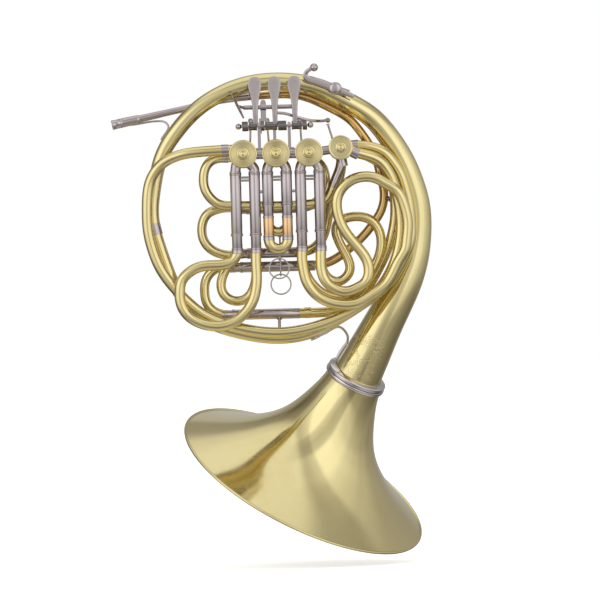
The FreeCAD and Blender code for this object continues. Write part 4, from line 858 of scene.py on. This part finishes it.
def valve_slide(deck, valve):
    name = "%s_slide_%d" % (deck, valve)
    body = name + "_body"
    middle, y, end = SLIDE_X[valve], DECK_Y[deck], LEG_END[deck][valve]
    left, right = middle - LEG_HALF_PITCH, middle + LEG_HALF_PITCH
    parts = slide_leg(deck, valve, left, body) + slide_leg(deck, valve, right, body)
    if valve == 2:
        points = [point(middle + LEG_HALF_PITCH * math.cos(a), y,
                        end + LEG_HALF_PITCH * math.sin(a))
                  for a in np.linspace(math.pi, 2 * math.pi, 17)]
        parts.append(tube(PART, points, LOOP_RADIUS[deck], LOOPS, body, step=1.0))
    else:
        loop = line("%s%d" % (deck, valve))
        points = [point(left, y, end)] + loop + [point(right, y, end)]
        parts.append(tube(PART, points, LOOP_RADIUS[deck], LOOPS, body, step=1.6, seg=44))
    slide = joined(name + "_skin", parts)
    if valve == 2:
        slide_eye(deck, body)
    stand_in(slide)


slide_sleeves()
for valve in VALVES:
    for deck in ("f", "b"):
        valve_slide(deck, valve)

# ------------------------------------------------------------------- tuning slides
MAIN_Y = 26.0
# left, right, z of the sleeves, upper one first
MAIN_SLEEVES = [(-52.19, 35.59, -71.48), (-63.02, 16.58, -127.03)]
F_TUNING_Y = 27.5
F_TUNING_SLEEVES = [(-43.40, 15.14, -3.23), (-43.40, 15.14, -55.39)]


def sleeve_tube(sleeve, y):
    left, right, z = sleeve
    return level_leg(left, right, y, z, radius=6.05, wall=0.4)


def sleeve_band(sleeve, y, bead):
    return band(point(sleeve[0], y, sleeve[2]), X_AXIS, radius=6.1, bore=6.05, height=3.0,
                mat=NICKEL, bead=bead)


def tuning_slide_sleeves():
    parts = [sleeve_tube(sleeve, MAIN_Y) for sleeve in MAIN_SLEEVES]
    for sleeve in F_TUNING_SLEEVES:
        parts.append(sleeve_tube(sleeve, F_TUNING_Y))
        parts.append(sleeve_band(sleeve, F_TUNING_Y, bead=0.3))
    parts += [sleeve_band(sleeve, MAIN_Y, bead=0.35) for sleeve in MAIN_SLEEVES]
    stand_in(joined("tuning_slide_sleeves_skin", parts))


def tuning_slide(name, sleeves, y, crook, draw, inset):
    """Two legs and a crook; draw is how far the legs show on the left."""
    body = name + "_body"
    parts, ends = [], []
    for left, right, z in sleeves:
        parts.append(level_leg(left - draw, right - inset, y, z, 5.6, 0.45, body))
        # the ferrule reaches 5 mm onto the crook
        parts.append(band(point(left - draw - 5.0, y, z), X_AXIS, 5.85, 5.6, 6.0, NICKEL,
                          body, "lacquer", bead=0.2))
        ends.append(point(left - draw, y, z))
    parts.append(tube(PART, [ends[0]] + line(crook) + [ends[1]], 5.5, LOOPS, body, step=1.6))
    stand_in(joined(name + "_skin", parts))


tuning_slide_sleeves()
tuning_slide("main_slide", MAIN_SLEEVES, MAIN_Y, "main_crook", draw=7.0, inset=12.0)
tuning_slide("f_tuning_slide", F_TUNING_SLEEVES, F_TUNING_Y, "f_tuning_crook",
             draw=6.0, inset=10.0)

# ------------------------------------------------------------ finger levers
HINGE_Y, HINGE_Z = -12.0, 92.7
ARM_LENGTH, ARM_REST = 50.0, math.radians(9.0)
ARM_END_Y = HINGE_Y + ARM_LENGTH * math.cos(ARM_REST)
LEVER_X = {1: -29.4, 2: -6.6, 3: 16.6}
HUB_X = {1: (-37.6, -28.0), 2: (-18.6, -4.2), 3: (12.6, 24.4)}
ARM_X = {1: -35.6, 2: -16.2, 3: 22.4}
BLADE_FOOT_Z = 93.6
BLADE_DROP = 1.9                               # lowers the blade, eased in above the foot
BLADE_WIDEN = 1.06
# z before the drop, y, width before widening, thickness
BLADE = [
    (BLADE_FOOT_Z, -14.2, 5.0, 3.8), (98.8, -15.2, 5.2, 3.4), (107.0, -16.2, 5.6, 3.1),
    (115.0, -16.5, 6.2, 2.8), (122.0, -16.55, 7.4, 2.5), (128.0, -16.5, 9.3, 2.2),
    (134.0, -16.4, 11.8, 2.0), (139.0, -16.2, 13.9, 1.9), (143.3, -16.15, 14.6, 1.8),
    (147.0, -16.15, 13.9, 1.8), (149.4, -16.15, 11.8, 1.7), (150.9, -16.15, 8.9, 1.6),
    (151.7, -16.15, 6.0, 1.3), (152.1, -16.15, 3.0, 0.9),
]


def lever_blade(x, body):
    """Forged blade, eased between its stations except for the width near its ends."""
    rows = np.array([
        (x, y, z - BLADE_DROP * min(1.0, (z - BLADE_FOOT_Z) / 20.0), width * BLADE_WIDEN, thick)
        for z, y, width, thick in BLADE])
    reach = np.r_[0, np.cumsum(np.linalg.norm(np.diff(rows[:, :3], axis=0), axis=1))]
    along = np.linspace(0, reach[-1], 90)
    _, y, z, width, thick = [np.interp(along, reach, column) for column in rows.T]
    y, thick = moving_average(y, 5), moving_average(thick, 5)
    width[4:-10] = moving_average(width, 5)[4:-10]
    wide, deep = soft_square(40, 0.72)
    sections = [point(x + wide * width[i] / 2, y[i] + deep * thick[i] / 2, z[i])
                for i in range(len(along))]
    return loft(sections, materials["spatula"], body, "nickel")


def lever_hub(left, right, body):
    length = right - left
    half = [(4.8, 0.0), (5.2, 0.35), (5.2, 1.5), (4.8, 1.9)]
    profile = [(1.6, 0.0)] + half + [(radius, length - up) for radius, up in half[::-1]]
    # the hub's nickel is painted dark grey: painted shade for the shaded underside of the hinge
    return lathe(PART, profile + [(1.6, length)], point(left, HINGE_Y, HINGE_Z), X_AXIS,
                 materials["painted_shade_hub"], body, seg=48)


def finger_lever(valve):
    body = "lever_%d_body" % valve
    x = ARM_X[valve]
    end = point(x, ARM_END_Y, HINGE_Z + ARM_LENGTH * math.sin(ARM_REST))
    # y and z from the hinge
    arm = [point(x, HINGE_Y + y, HINGE_Z + z) for y, z in ((2.0, 0.3), (17.0, 3.6), (34.0, 6.2))]
    stand_in(joined("lever_%d_skin" % valve, [
        lever_blade(LEVER_X[valve], body),
        lever_hub(*HUB_X[valve], body),
        tube(PART, arm + [end], 1.6, NICKEL, body, "nickel", step=1.5, seg=24, wall=1.2),
        sphere(end, 3.0, body)]))


for valve in VALVES:
    finger_lever(valve)

# ------------------------------------------------------------ bell brace
BRACE_WIRE = [
    (28.78, 11.73, -158.32), (34.9, 11.73, -156.29), (39.28, 16.5, -153.88),
    (46.38, 20.0, -150.79), (53.51, 26.0, -146.76), (61.76, 33.0, -144.41),
    (68.66, 40.0, -149.27), (71.98, 45.0, -156.38), (70.55, 47.74, -164.34),
]
# x, y, z, height, thickness; starts where the wire ends
BRACE_FOOT = [
    (*BRACE_WIRE[-1], 3.6, 3.0), (67.36, 49.12, -169.26, 5.4, 3.0),
    (63.61, 50.75, -174.98, 6.0, 3.0), (59.27, 52.63, -181.49, 5.0, 3.0),
]
stand_in(joined("bell_brace_skin", [
    tube(PART, [point(*row) for row in BRACE_WIRE], 1.4, NICKEL, slot="nickel", step=1.2,
         seg=20, wall=1.0),
    ribbon(BRACE_FOOT, BRIGHT, "horn")]))

# ------------------------------------------------------------ thumb lever
THUMB_Y, THUMB_Z = -1.5, 115.0
THUMB_BALL = (55.1, ARM_END_Y, 98.8)
THUMB_ARM = [
    (-4.19, -1.5, 108.25), (2.81, -1.3, 107.37), (12.11, -0.8, 104.78), (22.55, 1.5, 101.47),
    (33.01, 6.0, 98.62), (42.35, 14.0, 97.67), (49.38, 26.0, 97.96),
]
THUMB_SHAFT = [(0.0, 0.0), (2.2, 0.0), (2.5, 0.3), (2.5, 61.7), (2.2, 62.0), (0.0, 62.0)]
PADDLE_CENTRE = np.array((-49.9, HINGE_Y - 9.5, 116.6))
PADDLE_ALONG = unit(np.array((-42.98 + 56.83, 0.0, 101.78 - 131.4)))
# distance from the paddle's centre, half-width
PADDLE = [(-16.0, 1.6), (-15.5, 3.4), (-14.0, 5.0), (-11.5, 6.8), (-7.0, 8.4), (0.0, 9.0),
          (7.0, 8.2), (11.5, 6.4), (14.0, 4.6), (15.5, 2.8), (16.0, 1.2)]


def thumb_paddle(body):
    """Thin oval plate, tipped slightly about its length."""
    angle = turn(24)
    wide, _ = soft_square(24, 0.8)
    normal = np.array((-PADDLE_ALONG[2], 0.0, PADDLE_ALONG[0]))
    side = normal * 0.16 + np.array((0.0, 0.987, 0.0))
    lift = 0.9 * (1.0 - np.abs(np.cos(angle)) ** 2.5) * np.where(np.sin(angle) > 0, 1, -1)
    sections = []
    for along, half_width in PADDLE:
        places = (PADDLE_CENTRE + PADDLE_ALONG * along
                  + side * half_width * wide[:, None] + normal * lift[:, None])
        sections.append(point(*places.T))
    return loft(sections, NICKEL, body, "nickel")


def thumb_lever():
    """Flat arm with a ball, shaft, bent stem and paddle."""
    body = "thumb_lever_body"
    arm = [(-9.0, THUMB_Y, THUMB_Z - 2.2, 3.0, 2.6)]
    arm += [(*row, 3.4, 2.2) for row in THUMB_ARM]
    arm += [(54.4, THUMB_BALL[1] - 3.0, THUMB_BALL[2] + 0.2, 3.0, 2.2)]
    stem = [point(-42.5, THUMB_Y, THUMB_Z), point(-44.4, THUMB_Y - 4.0, THUMB_Z + 0.2),
            point(-46.6, THUMB_Y - 9.0, THUMB_Z + 0.7),
            point(-49.4, HINGE_Y - 8.5, THUMB_Z + 1.0)]
    stand_in(joined("thumb_lever_skin", [
        ribbon(arm, NICKEL, body),
        sphere(point(*THUMB_BALL), 3.0, body),
        lathe(PART, THUMB_SHAFT, point(-43.5, THUMB_Y, THUMB_Z), X_AXIS, NICKEL, body, seg=40),
        tube(PART, stem, 1.7, NICKEL, body, "nickel", step=1.0, seg=20, wall=1.2),
        thumb_paddle(body)]))


thumb_lever()

# ------------------------------------------------------------ lever rod and springs
ROD_LEFT, ROD_LENGTH, ROD_RADIUS = -49.5, 84.0, 1.5
SPRING_RADIUS, SPRING_WIRE = 5.8, 0.55
# left x, right x, turns
SPRINGS = [(-45.8, -37.8, 7), (-23.6, -18.8, 4), (-4.0, 7.0, 9), (24.6, 30.8, 5)]


def lever_rod():
    """Hinge rod with a ball at either end."""
    profile = [(0.0, 0.0), (ROD_RADIUS, 0.0), (ROD_RADIUS, ROD_LENGTH), (0.0, ROD_LENGTH)]
    parts = [lathe(PART, profile, point(ROD_LEFT, HINGE_Y, HINGE_Z), X_AXIS, NICKEL, seg=32)]
    for x in (ROD_LEFT, ROD_LEFT + ROD_LENGTH):
        parts.append(sphere(point(x, HINGE_Y, HINGE_Z), 3.5, "horn", X_AXIS))
    stand_in(joined("lever_rod_skin", parts))


def spring(left, right, turns):
    along = np.linspace(0, 1, int(turns * 26))
    angle = 2 * math.pi * turns * along
    coil = SPRING_RADIUS - SPRING_WIRE
    centres = point(left + SPRING_WIRE + (right - left - 2 * SPRING_WIRE) * along,
                    HINGE_Y + coil * np.cos(angle), HINGE_Z + coil * np.sin(angle))
    tangents = np.gradient(centres, axis=0)
    tangents /= np.linalg.norm(tangents, axis=1)[:, None]
    return hollow(PART, centres, tangents, SPRING_WIRE * MM, materials["spring_steel"],
                  "horn", "spring_steel", seg=10, wall=SPRING_WIRE * 0.7)


lever_rod()
stand_in(joined("lever_springs_skin", [spring(*row) for row in SPRINGS]))

# ------------------------------------------------------------ valve caps
CAP_RADIUS, CHANGE_CAP_RADIUS = 16.4, 14.3
CAP_BACK_Y = -27.05
CAP_CENTRES = [(-45.0, VALVE_Z), (-6.6, VALVE_Z), (31.8, VALVE_Z)]    # x, z


def cap_profile(radius):
    """Grooved rim, face with fine raised rings, boss and knob."""
    scale = radius / CAP_RADIUS
    rim = [(-1.0, 0.0), (-0.35, 0.25), (0.0, 0.9), (0.0, 1.7), (-0.25, 1.95), (0.0, 2.2),
           (0.0, 3.0), (-0.35, 3.6), (-1.1, 3.85), (-2.0 * scale, 3.8), (-2.4 * scale, 3.45)]
    profile = [(0.0, 0.0)] + [(radius + out, up) for out, up in rim]
    ring = radius - 2.6 * scale
    while ring > 7.6 * scale:
        profile += [(ring, 3.45), (ring - 0.18, 3.52), (ring - 0.36, 3.45)]
        ring -= 0.42
    boss = [(7.2, 3.5), (7.0, 3.85), (6.6, 4.05), (6.2, 4.15), (5.7, 4.25), (5.4, 4.6),
            (5.2, 5.3), (4.8, 6.0), (4.1, 6.45), (3.4, 6.6), (2.9, 6.5), (2.5, 6.35),
            (2.1, 6.4), (1.7, 6.7), (1.0, 6.85), (0.0, 6.9)]
    return profile + [(out * scale, up) for out, up in boss]


def cap(name, centre, radius):
    """Satin face with a bright rim and a polished boss."""
    place = point(centre[0], CAP_BACK_Y, centre[1])
    obj = lathe(name, cap_profile(radius), place, -Y_AXIS, [materials["cap"], LACQUER],
                slot="lacquer", seg=128, sharp=50)
    middle = Vector(place)
    for face in obj.data.polygons:
        out = math.hypot(face.center.x - middle.x, face.center.z - middle.z) / MM
        bright = out < 6.5 * radius / CAP_RADIUS or out > radius - 2.2
        face.material_index = 1 if bright else 0
    return obj


stand_in(joined("valve_caps_skin", [cap(PART, centre, CAP_RADIUS) for centre in CAP_CENTRES]))
stand_in(cap("change_cap_skin", CHANGE_VALVE, CHANGE_CAP_RADIUS))

# ------------------------------------------------------------ receiver
# radius, distance from the mouth: two beads, a taper and the bore
RECEIVER = [
    (4.15, 0.0), (5.1, 0.0), (5.5, 0.25), (5.7, 0.8), (5.7, 2.2), (5.45, 2.5), (5.45, 9.6),
    (5.7, 9.9), (5.7, 11.4), (5.3, 11.9), (5.3, 12.6), (5.62, 13.0), (5.5, 16.0),
    (5.15, 30.0), (4.95, 32.6), (4.75, 33.0), (4.35, 33.0), (4.35, 26.0), (3.6, 26.0),
    (4.15, 4.0),
]
stand_in(lathe("receiver_skin", RECEIVER, MOUTH, RECEIVER_AXIS, NICKEL, seg=72, sharp=40),
         "mouthpiece_receiver")

# ------------------------------------------------------------ little finger hook
HOOK_Y = -1.5
HOOK_TIP_Y = HOOK_Y - 1.6                      # the first two rows stand forward
# x, y, z, height, thickness
HOOK = [
    (38.34, HOOK_TIP_Y, 159.11, 4.2, 4.2), (34.07, HOOK_TIP_Y, 156.88, 4.6, 4.2),
    (30.82, HOOK_Y, 153.45, 5.0, 4.0), (30.37, HOOK_Y, 149.48, 6.4, 3.6),
    (33.79, HOOK_Y, 146.35, 7.8, 3.2), (40.06, HOOK_Y, 144.31, 8.2, 3.0),
    (47.6, HOOK_Y, 141.54, 8.2, 3.0), (55.13, HOOK_Y, 138.54, 7.8, 3.0),
    (63.23, HOOK_Y, 135.05, 7.2, 3.0), (71.33, HOOK_Y, 131.56, 6.6, 3.0),
    (78.27, HOOK_Y, 128.57, 5.6, 3.0), (85.21, HOOK_Y, 125.34, 4.6, 2.8),
]
# radius, height towards the front: shank, collar and domed head
HOOK_SCREW = [
    (0.0, -3.4), (1.45, -3.4), (1.45, 2.0), (5.2, 2.0), (5.4, 2.2), (5.4, 3.4), (6.8, 3.6),
    (7.3, 4.1), (7.5, 5.0), (7.3, 5.9), (6.6, 6.7), (5.2, 7.4), (3.0, 7.8), (0.0, 8.0),
]
stand_in(joined("finger_hook_skin", [
    ribbon(HOOK, NICKEL, "finger_hook_body", seg=36),
    sphere(point(40.47, HOOK_Y - 2.0, 159.87), 4.7, "finger_hook_body")]))
stand_in(lathe("hook_screw_skin", HOOK_SCREW, point(64.57, HOOK_Y, 134.71), -Y_AXIS, NICKEL,
               "hook_screw_body", seg=56))

# ------------------------------------------------------------ pull rings
PULL_RING_RADIUS = 11.6
for name, deck in (("pull_ring_front", "f"), ("pull_ring_rear", "b")):
    x, z = EYE[deck]
    stand_in(lathe(name + "_skin", wire_profile(PULL_RING_RADIUS, WIRE, 16),
                   point(x, DECK_Y[deck], z - 0.64 - PULL_RING_RADIUS), Y_AXIS, NICKEL,
                   name + "_body", seg=96, sharp=80))

# ------------------------------------------------------------------- stage (metres)
low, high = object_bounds()
FLOOR_HALF = 30.0
FLOOR_GAP = 0.012


def stage_floor():
    shader = new_material("pale_floor")
    cloud = shader.noise(shader.object_coords(), scale=3.0)
    shader.feed(shader.surface, {
        "Base Color": shader.mix(cloud, (0.95, 0.95, 0.945), (0.92, 0.92, 0.915)),
        "Roughness": 0.9, "Specular IOR Level": 0.1,
        "Emission Color": (1, 1, 1, 1), "Emission Strength": 0.62})
    mesh = bpy.data.meshes.new("floor")
    corners = [(x * FLOOR_HALF, y * FLOOR_HALF, 0)
               for x, y in ((-1, -1), (1, -1), (1, 1), (-1, 1))]
    mesh.from_pydata(corners, [], [(0, 1, 2, 3)])
    floor = bpy.data.objects.new("floor", mesh)
    scene.collection.objects.link(floor)
    floor.location = (0.2, 0.0, low.z - FLOOR_GAP)
    mesh.materials.append(shader.owner)
    floor.visible_glossy = False


# brightness round the horizon: degrees from the camera's side, positive towards +X
AZIMUTH_LIGHT = [
    (-180, 0.38), (-150, 0.24), (-128, 0.12), (-100, 0.22), (-82, 0.62), (-60, 1.0),
    (-28, 0.98), (-17, 0.62), (-4, 0.50), (8, 0.56), (18, 0.96), (46, 0.90), (66, 0.68),
    (84, 0.56), (100, 0.44), (128, 0.30), (150, 0.26), (180, 0.38),
]
# brightness by height: z of the direction
HEIGHT_LIGHT = [
    (-1.0, 0.60), (-0.80, 0.46), (-0.66, 0.28), (-0.44, 0.34), (-0.24, 0.66), (-0.02, 0.88),
    (0.20, 1.0), (0.52, 1.0), (0.60, 0.66), (0.74, 0.54), (0.84, 0.92), (1.0, 0.96),
]


def light_curve(shader, value, stops):
    """Grey level eased between the stops (value, level)."""
    start, end = stops[0][0], stops[-1][0]
    node = shader.add("ValToRGB", {0: shader.ramp(value, start, end)})
    curve = node.color_ramp
    curve.interpolation = "EASE"
    curve.elements[0].color = (stops[0][1],) * 3 + (1,)
    curve.elements[-1].color = (stops[-1][1],) * 3 + (1,)
    for position, level in stops[1:-1]:
        element = curve.elements.new((position - start) / (end - start))
        element.color = (level, level, level, 1)
    return node.outputs["Color"]


def studio_world():
    """Light tent seen in the metal, plain white to the camera."""
    world = bpy.data.worlds.new("studio")
    scene.world = world
    shader = Shader(world)
    calc = shader.calc
    output = shader.add("OutputWorld")
    generated = shader.add("TexCoord").outputs["Generated"]
    x, y, z = shader.add("SeparateXYZ", {0: generated}).outputs
    light_path = shader.add("LightPath")
    azimuth = calc("ARCTAN2", x, calc("MULTIPLY", y, -1.0))
    around = light_curve(shader, calc("MULTIPLY", azimuth, 180 / math.pi), AZIMUTH_LIGHT)
    upward = light_curve(shader, z, HEIGHT_LIGHT)
    # straight up and down the azimuth fades to an even grey
    pole = shader.ramp(calc("ABSOLUTE", z), 0.62, 0.92)
    around = shader.mix(pole, around, (0.75, 0.75, 0.75))
    light = shader.mix(1.0, around, upward, blend_type="MULTIPLY")
    level = shader.add("RGBToBW", {0: light}).outputs[0]
    tent = shader.add("Background", {
        "Color": shader.mix(level, (0.030, 0.020, 0.010), (1.0, 1.0, 0.99)),
        "Strength": 1.22})
    backdrop = shader.add("Background", {"Color": (1, 1, 1, 1), "Strength": 1.0})
    choice = shader.add("MixShader", {
        0: light_path.outputs["Is Camera Ray"], 1: tent.outputs[0], 2: backdrop.outputs[0]})
    shader.feed(output, {0: choice.outputs[0]})


def area_light(name, target, offset, power, width, height):
    """Rectangular light aimed at the target and unseen in reflections."""
    light = bpy.data.lights.new(name, "AREA")
    light.energy = power
    light.shape = "RECTANGLE"
    light.size = width
    light.size_y = height
    lamp = bpy.data.objects.new(name, light)
    scene.collection.objects.link(lamp)
    lamp.location = target + Vector(offset)
    lamp.visible_glossy = False
    lamp.rotation_euler = (-Vector(offset)).to_track_quat("-Z", "Y").to_euler()


def add_camera(lens=400.0, sensor=36.0, view_width=0.702, roll=math.radians(1.5)):
    """Long lens looking along +Y; view_width is what it sees at the datum, in metres."""
    camera = bpy.data.cameras.new("camera")
    camera.lens = lens
    camera.sensor_width = sensor
    camera.clip_end = 30
    holder = bpy.data.objects.new("camera", camera)
    scene.collection.objects.link(holder)
    distance = view_width * lens / sensor
    target = Vector(point(16.97, 0.0, -111.6))
    forward = Vector((0, 1, 0))
    upward = Vector((math.sin(roll), 0, math.cos(roll)))
    right = forward.cross(upward).normalized()
    rotation = Matrix((right, upward, -forward)).transposed().to_4x4()
    holder.matrix_world = Matrix.Translation(target - forward * distance) @ rotation
    scene.camera = holder


stage_floor()
studio_world()
middle = (low + high) / 2
area_light("key", middle, offset=(-1.3, -1.6, 1.5), power=5.0, width=0.9, height=0.9)
area_light("fill", middle, offset=(1.6, -1.3, 0.5), power=2.5, width=0.7, height=1.1)
area_light("top", middle, offset=(0.0, 0.3, 1.8), power=4.0, width=1.2, height=1.0)
add_camera()
scene.view_settings.view_transform = "Standard"
